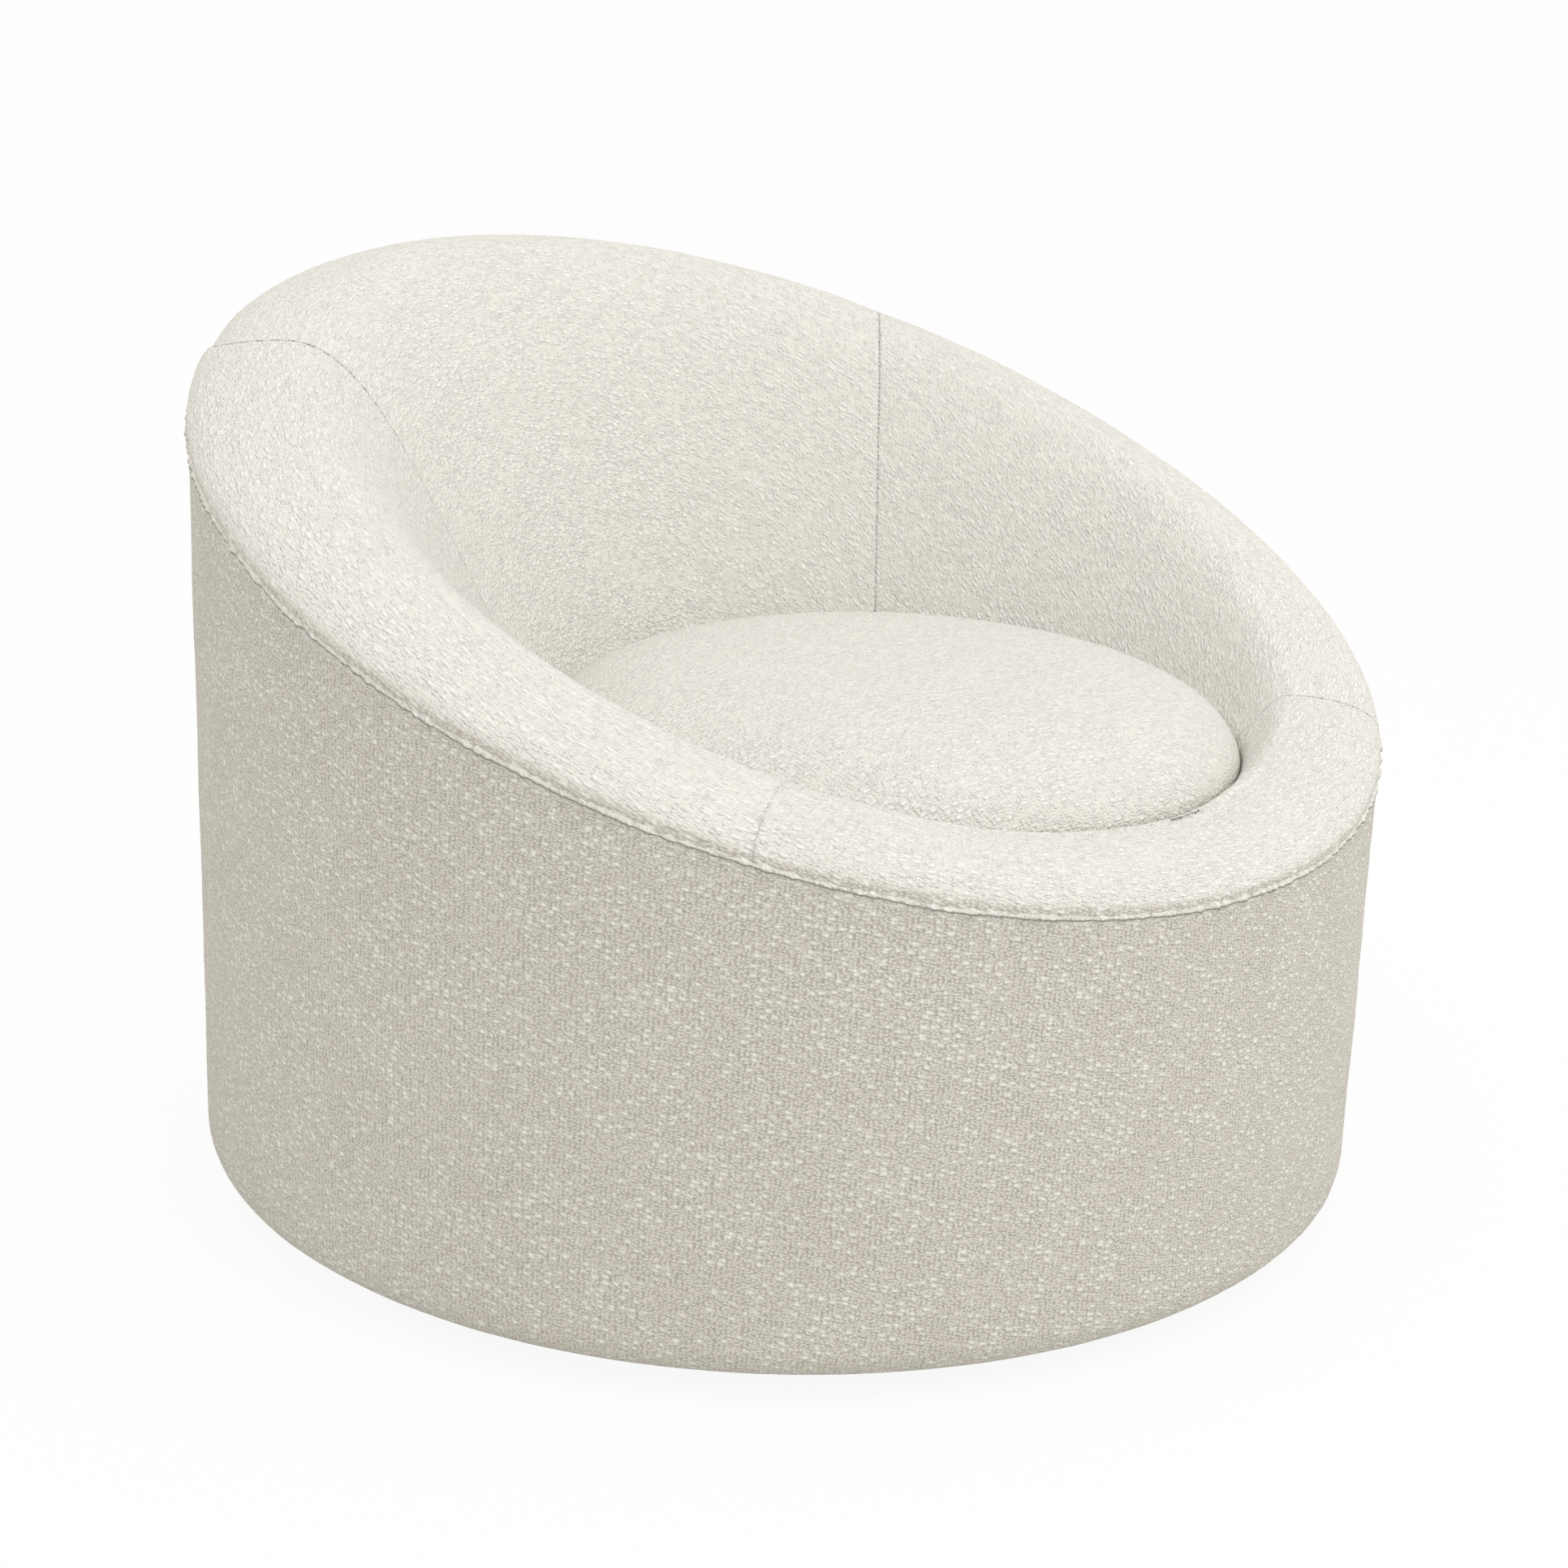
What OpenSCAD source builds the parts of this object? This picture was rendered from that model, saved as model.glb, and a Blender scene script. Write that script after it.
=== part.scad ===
// Round upholstered armchair: a drum with an oblique padded rim and a tight
// crowned seat, turning on a recessed swivel plinth.
// Frame: origin on the floor at the swivel axis, +Z up, the front faces -Y.

/* [Drum] */
// Outer diameter of the upholstered drum
drum_d = 900; // [860:1:980]
// Height of the rim seam above the floor, at the drum's axis
seam_h = 485; // [475:1:540]
// Slope of the rim seam from front to back, degrees
rim_slope = 19.5; // [16:0.5:21]
// Gap between the floor and the lower edge of the drum
floor_gap = 15; // [13:1:24]
// Radius of the rounded lower edge
edge_r = 27; // [24:1:34]

/* [Rim] */
// Rise of the padded rim above its seam
rim_rise = 34; // [26:1:44]
// Distance from the drum's face to the crest of the rim
crest_in = 71; // [56:1:76]
// How far the rim swells past the drum's face
rim_swell = 6; // [2:0.5:7]
// Height of the sewn ridge along the seam
welt_h = 4.4; // [3:0.2:6]
// How far the sewn ridge stands proud of the drum
welt_out = 3; // [2.8:0.1:4]

/* [Seat] */
// Thickness of the upholstered wall at the crease, in front of the seat
wall_front = 83; // [80:1:96]
// Thickness of the upholstered wall at the crease, behind the seat
wall_back = 291; // [285:1:296]
// Height of the crease round the seat
crease_h = 352; // [335:1:354]
// Height of the seat's crown above the crease
seat_crown = 64; // [40:1:80]
// Depth from the crease down to the spring board
deck_drop = 88; // [80:1:110]
// Width of the spring board under the edge of the seat
spring_rim = 38; // [28:1:60]

/* [Layers] */
// Thickness of the cover fabric
cover_t = 3; // [2:0.5:4]
// Thickness of the wadding on the drum
wadding_t = 5; // [4:0.5:8]
// Thickness of the hardboard skin
skin_t = 4; // [3:0.5:5]
// Thickness of the bent inner shell
shell_t = 4; // [3:0.5:6]
// Thickness of the plywood boards
board_t = 18; // [15:1:20]
// Depth of the fabric tucked into the crease
tuck = 45; // [30:1:60]
// Width of the side cover turned in under the drum
hem_w = 28; // [20:1:40]
// Thickness of the wall foam at the crease
crease_pad = 27; // [20:1:27]
// Running and seating clearance between layers
fit = 0.3; // [0.2:0.05:0.5]

/* [Frame] */
// Number of posts
post_n = 10; // [8:2:12]
// Post size along the radius
post_d = 32; // [28:1:34]
// Post size along the wall
post_w = 45; // [36:1:50]
// Width of the top ring at the front
ring_front_w = 42; // [36:1:43]
// Width of the top ring at the back
ring_back_w = 70; // [60:1:90]
// Width and height of the seat cleats
cleat = 34; // [28:1:40]

/* [Springs] */
// Number of sinuous springs
spring_n = 5; // [3:2:7]
// Distance between springs
spring_gap = 80; // [60:1:86]
// Wire diameter
wire_d = 4; // [3.2:0.1:4.6]
// Radius of the bends, at the wire's centre
bend_r = 11; // [9:0.5:13]
// Length of the straight across the spring
bar_l = 24; // [18:1:34]

/* [Swivel] */
// Diameter of the recessed plinth
plinth_d = 560; // [480:1:600]
// Thickness of the plinth
plinth_t = 18; // [15:1:19]
// Clearance round the plinth
plinth_gap = 20; // [12:1:26]
// Height of the glides
glide_h = 4; // [3:0.5:5]
// Diameter of the glides
glide_d = 36; // [28:1:44]
// Number of glides
glide_n = 6; // [4:1:8]
// Diameter of the swivel plates
plate_d = 300; // [290:1:340]
// Thickness of the swivel plates
plate_t = 2.5; // [2:0.1:3]
// Diameter of the bearing balls
ball_d = 8; // [7:0.5:8]
// Number of bearing balls
ball_n = 24; // [16:1:30]
// Diameter of the ball circle
race_d = 230; // [200:1:240]
// Diameter of the centre pin
pin_d = 16; // [12:1:20]
// Diameter of the swivel bolts
bolt_d = 8; // [6:1:10]
// Number of swivel bolts
bolt_n = 4; // [3:1:6]

/* [Hidden] */

$fn = 96;
cream = [0.90, 0.88, 0.83];
foam = [0.93, 0.90, 0.70];
ply = [0.80, 0.66, 0.45];
steel = [0.62, 0.63, 0.65];

// ---- radii and heights shared by the layers ----
// the lining's inner face and the foam end this far under the crease and inside the drum
crease_ease = 2;
rim_ease = 1.2;
ring_ease = 1;
drum_r = drum_d / 2;
seat_d = drum_d - wall_front - wall_back;
seat_r = seat_d / 2;
seat_forward = (wall_back - wall_front) / 2;
spring_hole_d = seat_d - 2 * spring_rim;
wad_r = drum_r - cover_t - fit;
skin_r = wad_r - wadding_t - fit;
frame_r = skin_r - skin_t - fit;
ring_z0 = floor_gap + cover_t + wadding_t + 2 * fit;
ring_z1 = ring_z0 + board_t;
base_z1 = ring_z1 + board_t;
deck_z1 = crease_h - deck_drop;
deck_z0 = deck_z1 - board_t;
seat_y = -seat_forward;
turn_in_r = drum_r - edge_r - hem_w;
ring_open_r = plinth_d / 2 + plinth_gap;
big = 2 * drum_d;

// top ring: plan circle of its inner edge, and its place under the seam plane
ring_drop = 4;
ring_front_in = frame_r - ring_front_w;
ring_back_in = frame_r - ring_back_w;
ring_in_r = (ring_front_in + ring_back_in) / 2;
ring_in_y = (ring_back_in - ring_front_in) / 2;
ring_t_z = board_t / cos(rim_slope);

// swivel stack
plinth_z1 = glide_h + plinth_t;
lower_z1 = plinth_z1 + plate_t;
upper_z0 = ring_z1 - plate_t;
race_z = (lower_z1 + upper_z0) / 2;
race_r = race_d / 2;
race_wall = 4;
race_w = ball_d + 2 * race_wall;
race_gap = 2.6;
cage_t = 1.2;
plate_edge = 10;
plate_screw_r = plate_d / 2 - plate_edge;
plate_screw_n = 6;
head_d = 14;
head_h = 4;
screw_d = 4.5;
screw_head_d = 9;
screw_head_h = 3;
screw_l = 14;
pin_head_d = pin_d + 12;
pin_head_h = 3;
tee_barrel_d = bolt_d + 3;
tee_barrel_h = 11;

// posts: outer corners stay inside the skin, and no post stands at the very front
post_r1 = sqrt(pow(frame_r - fit, 2) - pow(post_w / 2, 2));
post_r0 = post_r1 - post_d;
post_step = 360 / post_n;
post_turn = -90 + post_step / 2;
long_screw_d = 5;
long_screw_l = 50;
long_head_d = 10;
long_head_h = 3;

// inner shell: circle of its foot round the seat
shell_foot_r = min(seat_r + crease_pad, post_r0 - seat_forward - shell_t - fit);

// springs
wire_lift = 4;
wire_z = deck_z1 + wire_lift + wire_d / 2;
spring_edge = 11;
clip_t = 1.8;
clip_w = 16;
clip_foot = 24;
pad_t = 8;
topper_min = 8;
pad_z0 = wire_z + wire_d / 2 + fit;
core_z0 = pad_z0 + pad_t;
core_z1 = crease_h - topper_min;
core_r = seat_r - 2 * fit - cover_t;

// lofted layers: angles round the seat's centre, in degrees
step = 5;
// directions of the seams between the lining panels, from the seat's centre
corners = [45, 127, 210, 318, 405];
n_rim = 5;
n_wall = 8;
n_split = 3;

// ---- helpers ----
// Keeps what lies below the seam plane lowered by drop
module below_seam(drop) {
    difference() {
        children();
        translate([0, 0, seam_h - drop]) rotate([rim_slope, 0, 0])
            translate([-big / 2, -big / 2, 0]) cube([big, big, big]);
    }
}

// Half section of the drum, moved inwards by o, with its rounded lower edge
module drum_half(o) {
    translate([0, floor_gap + edge_r]) square([drum_r - o, seam_h + drum_r]);
    translate([0, floor_gap + o]) square([drum_r - edge_r, edge_r]);
    translate([drum_r - edge_r, floor_gap + edge_r]) circle(edge_r - o);
}

// Copies the children round the swivel axis
module around(n, first = 0) {
    for (i = [0 : n - 1]) rotate([0, 0, first + i * 360 / n]) children();
}

// Copies the children at each post, with +X pointing outwards
module at_posts() {
    around(post_n, post_turn) children();
}

// Distance from the seat's centre, in direction a, to a circle of radius r
// whose centre lies at height y on the drum's plan
function reach(a, r, y) =
    (y - seat_y) * sin(a) + sqrt(r * r - pow((y - seat_y) * cos(a), 2));

// Height of the seam plane above a point rho from the seat's centre
function seam_z(a, rho) = seam_h + tan(rim_slope) * (seat_y + rho * sin(a));

function bez(p, t) = pow(1 - t, 3) * p[0] + 3 * t * pow(1 - t, 2) * p[1]
    + 3 * t * t * (1 - t) * p[2] + t * t * t * p[3];
function bez_dir(p, t) = let (d = pow(1 - t, 2) * (p[1] - p[0])
    + 2 * t * (1 - t) * (p[2] - p[1]) + t * t * (p[3] - p[2])) d / norm(d);
// Point at depth o under the curve
function bez_in(p, t, o) = let (d = bez_dir(p, t)) bez(p, t) - o * [d[1], -d[0]];

// Rim curve from the seam to the crest, as [rho, z] control points
function rim_bez(a) = let (r = reach(a, drum_r, 0), z = seam_z(a, r), q = crest(a)) [
    [r, z + welt_h / 2 + fit], [r + rim_swell, z + 0.6 * rim_rise],
    [r - 0.45 * q, z + rim_rise], [r - q, z + rim_rise]];
function crest(a) = min(crest_in, 0.86 * (reach(a, drum_r, 0) - seat_r));
// Wall curve from the crest down to the crease
function wall_bez(a) = let (p = rim_bez(a)[3], w = p[0] - seat_r, h = p[1] - crease_h) [
    p, [p[0] - 0.34 * w, p[1]], [seat_r + 0.45 * w, crease_h + 0.57 * h],
    [seat_r, crease_h]];

// Points i0 to i1 of the n steps along one curve, at depth o
function stretch(p, o, n, i0, i1) = [for (i = [i0 : i1]) bez_in(p, i / n, o)];
function face(a, o) = concat(stretch(rim_bez(a), o, n_rim, 0, n_rim),
    stretch(wall_bez(a), o, n_wall, 1, n_wall));
function reversed(v) = [for (i = [len(v) - 1 : -1 : 0]) v[i]];

// Closed section of a lining panel: outer face, tuck, inner face
function lining_section(a) = concat(face(a, 0),
    [[seat_r, crease_h - tuck], [seat_r + cover_t, crease_h - tuck],
     [seat_r + cover_t, crease_h - cover_t - crease_ease]],
    reversed(face(a, cover_t)));

// Section of the rim foam, lying on the top ring
function rim_foam_section(a) = let (
    under = cover_t + fit, r = reach(a, drum_r, 0) - under - rim_ease,
    v = reach(a, ring_in_r, ring_in_y) - fit, drop = ring_drop - fit) concat(
    [[r, seam_z(a, r) - drop]],
    stretch(rim_bez(a), under, n_rim, 1, n_rim),
    stretch(wall_bez(a), under, n_wall, 1, n_split),
    [[v, seam_z(a, v) - drop]]);

// Section of the wall foam, between the lining and the inner shell
function back_foam_section(a) = let (
    under = cover_t + fit, v = reach(a, ring_in_r, ring_in_y) - fit,
    top = seam_z(a, v) - ring_drop) concat(
    stretch(wall_bez(a), under, n_wall, n_split, n_wall),
    [[seat_r + under, crease_h - cover_t - crease_ease], [seat_r + under, deck_z1 + fit],
     [shell_foot_r - fit, deck_z1 + fit], [v, top - ring_t_z - fit], [v, top - ring_ease]]);

// Section of the bent inner shell, from the spring board to the top ring
function shell_section(a) = let (
    u = reach(a, ring_in_r, ring_in_y), w = reach(a, ring_in_r + shell_t, ring_in_y),
    drop = ring_drop + ring_t_z + fit) [
    [shell_foot_r + shell_t, deck_z1], [w, seam_z(a, w) - drop],
    [u, seam_z(a, u) - drop], [shell_foot_r, deck_z1]];

// Places a [rho, z] section in direction a from the seat's centre
function placed(sec, a) = [for (p = sec) [p[0] * cos(a), seat_y + p[0] * sin(a), p[1]]];

// Solid through closed sections; whole = a full turn, otherwise with end caps, each laid
// in strips from the outer line of the section to the inner one.
// Neighbours take opposite cuts, so that the facets of their shared face agree.
module loft(rows, whole, cut) {
    n = len(rows[0]);
    m = len(rows);
    last = whole ? m - 1 : m - 2;
    sides = [for (i = [0 : last]) for (j = [0 : n - 1])
        let (k = (i + 1) % m, l = (j + 1) % n)
        each cut ? [[i * n + j, i * n + l, k * n + l], [i * n + j, k * n + l, k * n + j]]
            : [[i * n + j, i * n + l, k * n + j], [i * n + l, k * n + l, k * n + j]]];
    strip = [for (j = [0 : floor(n / 2) - 1]) each [[j, j + 1, n - 1 - j],
        each j + 1 == n - 2 - j ? [] : [[j + 1, n - 2 - j, n - 1 - j]]]];
    caps = whole ? [] : [for (t = strip) each [[t[2], t[1], t[0]],
        [for (p = t) (m - 1) * n + p]]];
    polyhedron(points = [for (r = rows) each r], faces = concat(caps, sides), convexity = 8);
}

// Section of the lining in direction a, on the chord between two whole steps
function lining_row(a) = let (
    a0 = floor(a / step) * step, a1 = a0 + step, t = (a - a0) / step,
    p = placed(lining_section(a0), a0), q = placed(lining_section(a1), a1))
    [for (i = [0 : len(p) - 1]) (1 - t) * p[i] + t * q[i]];

// Lining panel k, between two of the seams that run out from the seat
module lining(k) {
    seam = atan(fit / seat_r);
    from = corners[k] + seam;
    to = corners[k + 1] - seam;
    rows = [lining_row(from), each [for (a = [ceil(from / step) * step : step : to])
            lining_row(a)], lining_row(to)];
    color(cream) loft(rows, false, true);
}

// ---- swivel base ----
module glides() {
    color("dimgray") around(glide_n) translate([plinth_d / 2 - glide_d, 0, 0]) {
        cylinder(d1 = glide_d - 3, d2 = glide_d, h = glide_h);
        cylinder(d = glide_d / 4, h = glide_h + plinth_t / 2);
    }
}

module plinth() {
    chamfer = 3;
    color([0.12, 0.11, 0.10]) difference() {
        rotate_extrude() polygon([[0, glide_h], [plinth_d / 2 - chamfer, glide_h],
            [plinth_d / 2, glide_h + chamfer], [plinth_d / 2, plinth_z1], [0, plinth_z1]]);
        around(glide_n) translate([plinth_d / 2 - glide_d, 0, glide_h - 1])
            cylinder(d = glide_d / 4 + 2 * fit, h = plinth_t / 2 + 2);
        around(plate_screw_n, 180 / plate_screw_n) translate([plate_screw_r, 0, plinth_z1 - screw_l - 1])
            cylinder(d = screw_d + 2 * fit, h = screw_l + 2, $fn = 32);
        translate([0, 0, plinth_z1 - pin_head_h - fit])
            cylinder(d = pin_head_d + 2 * fit, h = plinth_t);
    }
}

// Annular land that carries one side of the ball groove
module race_land(z0, z1) {
    difference() {
        translate([0, 0, z0]) cylinder(r = race_r + race_w / 2, h = z1 - z0);
        translate([0, 0, z0 - 1]) cylinder(r = race_r - race_w / 2, h = z1 - z0 + 2);
        rotate_extrude() translate([race_r, race_z]) circle(ball_d / 2 + fit, $fn = 48);
    }
}

module lower_swivel_plate() {
    color(steel) difference() {
        union() {
            translate([0, 0, plinth_z1]) cylinder(d = plate_d, h = plate_t);
            race_land(plinth_z1, race_z - race_gap / 2);
        }
        translate([0, 0, plinth_z1 - 1]) cylinder(d = pin_d + 2 * fit, h = plate_t + 2);
        around(plate_screw_n, 180 / plate_screw_n) translate([plate_screw_r, 0, plinth_z1 - 1])
            cylinder(d = screw_d + 2 * fit, h = plate_t + 2, $fn = 32);
    }
}

module plinth_screws() {
    color(steel) around(plate_screw_n, 180 / plate_screw_n) translate([plate_screw_r, 0, 0]) {
        translate([0, 0, lower_z1]) cylinder(d1 = screw_head_d, d2 = screw_head_d - 3,
            h = screw_head_h, $fn = 32);
        translate([0, 0, plinth_z1 - screw_l]) cylinder(d = screw_d, h = screw_l + plate_t,
            $fn = 32);
    }
}

module centre_pin() {
    top = ring_z1 + fit;
    color(steel) {
        translate([0, 0, plinth_z1 - pin_head_h]) cylinder(d = pin_head_d, h = pin_head_h);
        translate([0, 0, plinth_z1 - 1]) cylinder(d = pin_d, h = top - plinth_z1 + 2);
        translate([0, 0, top]) cylinder(d = pin_head_d, h = pin_head_h);
    }
}

module ball_cage() {
    color("goldenrod") difference() {
        translate([0, 0, race_z - cage_t / 2]) cylinder(r = race_r + race_w / 2, h = cage_t);
        translate([0, 0, race_z - cage_t]) cylinder(r = race_r - race_w / 2, h = 2 * cage_t);
        around(ball_n) translate([race_r, 0, race_z - cage_t])
            cylinder(d = ball_d + 2 * fit, h = 2 * cage_t, $fn = 48);
    }
}

module bearing_balls() {
    color(steel) around(ball_n) translate([race_r, 0, race_z]) sphere(d = ball_d, $fn = 48);
}

module upper_swivel_plate() {
    color(steel) difference() {
        union() {
            translate([0, 0, upper_z0]) cylinder(d = plate_d, h = plate_t);
            race_land(race_z + race_gap / 2, ring_z1);
        }
        translate([0, 0, upper_z0 - 1]) cylinder(d = pin_d + 2 * fit, h = plate_t + 2);
        around(bolt_n) translate([plate_screw_r, 0, upper_z0 - 1])
            cylinder(d = bolt_d + 2 * fit, h = plate_t + 2, $fn = 32);
    }
}

module swivel_bolts() {
    color(steel) around(bolt_n) translate([plate_screw_r, 0, 0]) {
        translate([0, 0, upper_z0 - head_h]) cylinder(d1 = head_d - 4, d2 = head_d,
            h = head_h, $fn = 48);
        translate([0, 0, upper_z0 - 1]) cylinder(d = bolt_d, h = plate_t + board_t + 2,
            $fn = 48);
    }
}

module tee_nuts() {
    flange_d = 22;
    flange_t = 1.5;
    color(steel) around(bolt_n) translate([plate_screw_r, 0, base_z1]) difference() {
        union() {
            cylinder(d = flange_d, h = flange_t, $fn = 48);
            translate([0, 0, -tee_barrel_h]) cylinder(d = tee_barrel_d,
                h = tee_barrel_h + flange_t, $fn = 48);
        }
        translate([0, 0, -tee_barrel_h - 1]) cylinder(d = bolt_d + 2 * fit,
            h = tee_barrel_h + flange_t + 2, $fn = 48);
    }
}

// ---- frame ----
module bottom_ring() {
    color(ply) rotate_extrude() intersection() {
        drum_half(cover_t + wadding_t + 2 * fit);
        translate([ring_open_r, ring_z0]) square([drum_r, board_t]);
    }
}

module base_board() {
    vent_d = 80;
    vent_r = (ring_open_r + plate_d / 2) / 2;
    color(ply) difference() {
        translate([0, 0, ring_z1]) cylinder(r = frame_r, h = board_t);
        translate([0, 0, ring_z1 - 1]) cylinder(d = pin_head_d + 16, h = board_t + 2);
        around(bolt_n) translate([plate_screw_r, 0, ring_z1 - 1]) {
            cylinder(d = bolt_d + 2 * fit, h = board_t + 2, $fn = 32);
            translate([0, 0, board_t - tee_barrel_h - fit])
                cylinder(d = tee_barrel_d + 2 * fit, h = board_t, $fn = 32);
        }
        around(bolt_n, 180 / bolt_n) translate([vent_r, 0, ring_z1 - 1])
            cylinder(d = vent_d, h = board_t + 2);
        at_posts() translate([(post_r0 + post_r1) / 2, 0, ring_z1 - 1]) {
            cylinder(d = long_screw_d + 2 * fit, h = board_t + 2, $fn = 32);
            cylinder(d = long_head_d + 2 * fit, h = long_head_h + 1 + fit, $fn = 32);
        }
    }
}

// Posts stand on the base board and end under the sloping top ring
module posts() {
    color(ply) below_seam(ring_drop + ring_t_z) at_posts() difference() {
        translate([post_r0, -post_w / 2, base_z1]) cube([post_d, post_w, seam_h + drum_r]);
        translate([(post_r0 + post_r1) / 2, 0, base_z1 - 1])
            cylinder(d = long_screw_d + 2 * fit, h = long_screw_l - board_t + 2, $fn = 32);
        translate([post_r0 - 1, 0, deck_z0 - cleat / 2]) rotate([0, 90, 0])
            cylinder(d = screw_d + 2 * fit, h = post_d * 0.7, $fn = 32);
    }
}

module post_screws() {
    color(steel) at_posts() translate([(post_r0 + post_r1) / 2, 0, ring_z1]) {
        cylinder(d = long_head_d, h = long_head_h, $fn = 32);
        cylinder(d = long_screw_d, h = long_screw_l, $fn = 32);
    }
}

// Cleats on the inner faces of the posts carry the spring board
module seat_cleats() {
    color(ply) at_posts() difference() {
        translate([post_r0 - cleat, -post_w / 2, deck_z0 - cleat])
            cube([cleat - fit / 3, post_w, cleat]);
        translate([post_r0 - cleat - 1, 0, deck_z0 - cleat / 2]) rotate([0, 90, 0])
            cylinder(d = screw_d + 2 * fit, h = cleat + 2, $fn = 32);
    }
}

module cleat_screws() {
    color(steel) at_posts() translate([post_r0 - cleat, 0, deck_z0 - cleat / 2])
        rotate([0, 90, 0]) {
            translate([0, 0, -screw_head_h]) cylinder(d1 = screw_head_d - 3,
                d2 = screw_head_d, h = screw_head_h, $fn = 32);
            cylinder(d = screw_d, h = cleat + post_d * 0.6, $fn = 32);
        }
}

// Board with the spring opening, let in round the posts
module seat_board() {
    color(ply) difference() {
        translate([0, 0, deck_z0]) cylinder(r = frame_r, h = board_t);
        translate([0, seat_y, deck_z0 - 1]) cylinder(d = spring_hole_d, h = board_t + 2);
        at_posts() translate([post_r0 - fit, -post_w / 2 - fit, deck_z0 - 1])
            cube([drum_r, post_w + 2 * fit, board_t + 2]);
    }
}

// Sloping plywood ring under the padded rim
module top_ring() {
    color(ply) intersection() {
        translate([0, 0, seam_h - ring_drop]) rotate([rim_slope, 0, 0])
            translate([-big / 2, -big / 2, -board_t]) cube([big, big, board_t]);
        difference() {
            cylinder(r = frame_r, h = big);
            translate([0, ring_in_y, -1]) cylinder(r = ring_in_r, h = big + 2);
        }
    }
}

module inner_shell() {
    color(ply) loft([for (a = [0 : step : 360 - step]) placed(shell_section(a), a)],
        true, true);
}

module outer_skin() {
    color([0.50, 0.36, 0.24]) below_seam(ring_drop + 2) difference() {
        translate([0, 0, ring_z1]) cylinder(r = skin_r, h = seam_h + drum_r);
        translate([0, 0, ring_z1 - 1]) cylinder(r = skin_r - skin_t, h = seam_h + drum_r + 2);
    }
}

// ---- seat suspension ----
// Half the length that a spring has to bridge at distance x from the middle
function reach_y(x) = sqrt(pow(spring_hole_d / 2, 2) - x * x) + spring_edge;
// Number of cross bars, always odd, so that both ends finish on the same side
function bars(x) = 2 * round(reach_y(x) / (2 * bend_r)) + 1;
// Distance between cross bars, to a tenth of a millimetre
function pitch(x) = round(20 * reach_y(x) / (bars(x) - 1)) / 10;
function half_span(x) = pitch(x) * (bars(x) - 1) / 2;

// One sinuous spring: straight cross bars joined by half-round bends
module spring(x) {
    n = bars(x);
    p = pitch(x);
    for (i = [0 : n - 1]) translate([0, (i - (n - 1) / 2) * p, 0]) {
        translate([-bar_l / 2, 0, 0]) rotate([0, 90, 0])
            cylinder(d = wire_d, h = bar_l, $fn = 24);
        if (i < n - 1) translate([(i % 2 == 0 ? 1 : -1) * bar_l / 2, p / 2, 0])
            rotate([0, 0, i % 2 == 0 ? -90 : 90]) rotate_extrude(angle = 180)
                translate([p / 2, 0]) circle(d = wire_d, $fn = 24);
    }
}

module sinuous_springs() {
    color(steel) for (i = [0 : spring_n - 1]) {
        x = (i - (spring_n - 1) / 2) * spring_gap;
        translate([x, seat_y, wire_z]) spring(x);
    }
}

// Hooked steel clip screwed to the board, closed over the last cross bar
module clip() {
    hook_r = wire_d / 2 + fit;
    foot = wire_z - deck_z1;
    translate([-clip_w / 2, 0, 0]) rotate([90, 0, 90]) linear_extrude(clip_w) difference() {
        union() {
            circle(r = hook_r + clip_t, $fn = 48);
            translate([0, -foot]) square([clip_foot, clip_t]);
            translate([0, -foot]) square([hook_r + clip_t, foot]);
        }
        circle(r = hook_r, $fn = 48);
        translate([-hook_r - clip_t - 1, -foot - 1]) square([hook_r + clip_t + 1, foot + 1]);
    }
}

module spring_clips() {
    color(steel) for (i = [0 : spring_n - 1]) for (s = [-1, 1]) {
        x = (i - (spring_n - 1) / 2) * spring_gap;
        translate([x, seat_y + s * half_span(x), wire_z]) rotate([0, 0, s > 0 ? 0 : 180])
            clip();
    }
}

module deck_pad() {
    color("slategray") translate([0, seat_y, pad_z0])
        cylinder(d = spring_hole_d - 2 * wire_d, h = pad_t);
}

// ---- seat padding ----
// Crowned profile of the seat, r from the middle, for an edge radius and a crown
function crown_z(r, edge, crown) = crease_h + crown * sqrt(max(0, 1 - pow(r / edge, 4)));
module crown_2d(edge, crown, z0) {
    polygon(concat([[0, z0], [edge, z0], [edge, crease_h]],
        [for (i = [1 : 18]) let (r = edge * cos(5 * i)) [r, crown_z(r, edge, crown)]]));
}

module seat_core() {
    color(foam) translate([0, seat_y, core_z0]) cylinder(r = core_r, h = core_z1 - core_z0);
}

module seat_topper() {
    color("ivory") translate([0, seat_y, 0]) rotate_extrude()
        crown_2d(core_r, seat_crown - cover_t - fit, core_z1);
}

module seat_cover() {
    color(cream) translate([0, seat_y, 0]) rotate_extrude() difference() {
        crown_2d(seat_r - fit, seat_crown, crease_h - tuck);
        crown_2d(seat_r - fit - cover_t, seat_crown - cover_t, crease_h - tuck - 1);
    }
}

// ---- wall padding and covers ----
module side_wadding() {
    o = cover_t + fit;
    color("ivory") below_seam(ring_drop + 2) rotate_extrude() difference() {
        drum_half(o);
        drum_half(o + wadding_t);
        square([turn_in_r + hem_w / 2, 2 * edge_r + floor_gap]);
    }
}

module rim_foam() {
    color(foam) loft([for (a = [0 : step : 360 - step]) placed(rim_foam_section(a), a)],
        true, false);
}

module back_foam() {
    color(foam) loft([for (a = [0 : step : 360 - step]) placed(back_foam_section(a), a)],
        true, false);
}

module side_cover() {
    color(cream) below_seam(welt_h / 2 + fit) rotate_extrude() difference() {
        drum_half(0);
        drum_half(cover_t);
        square([turn_in_r, 2 * edge_r + floor_gap]);
    }
}

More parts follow.
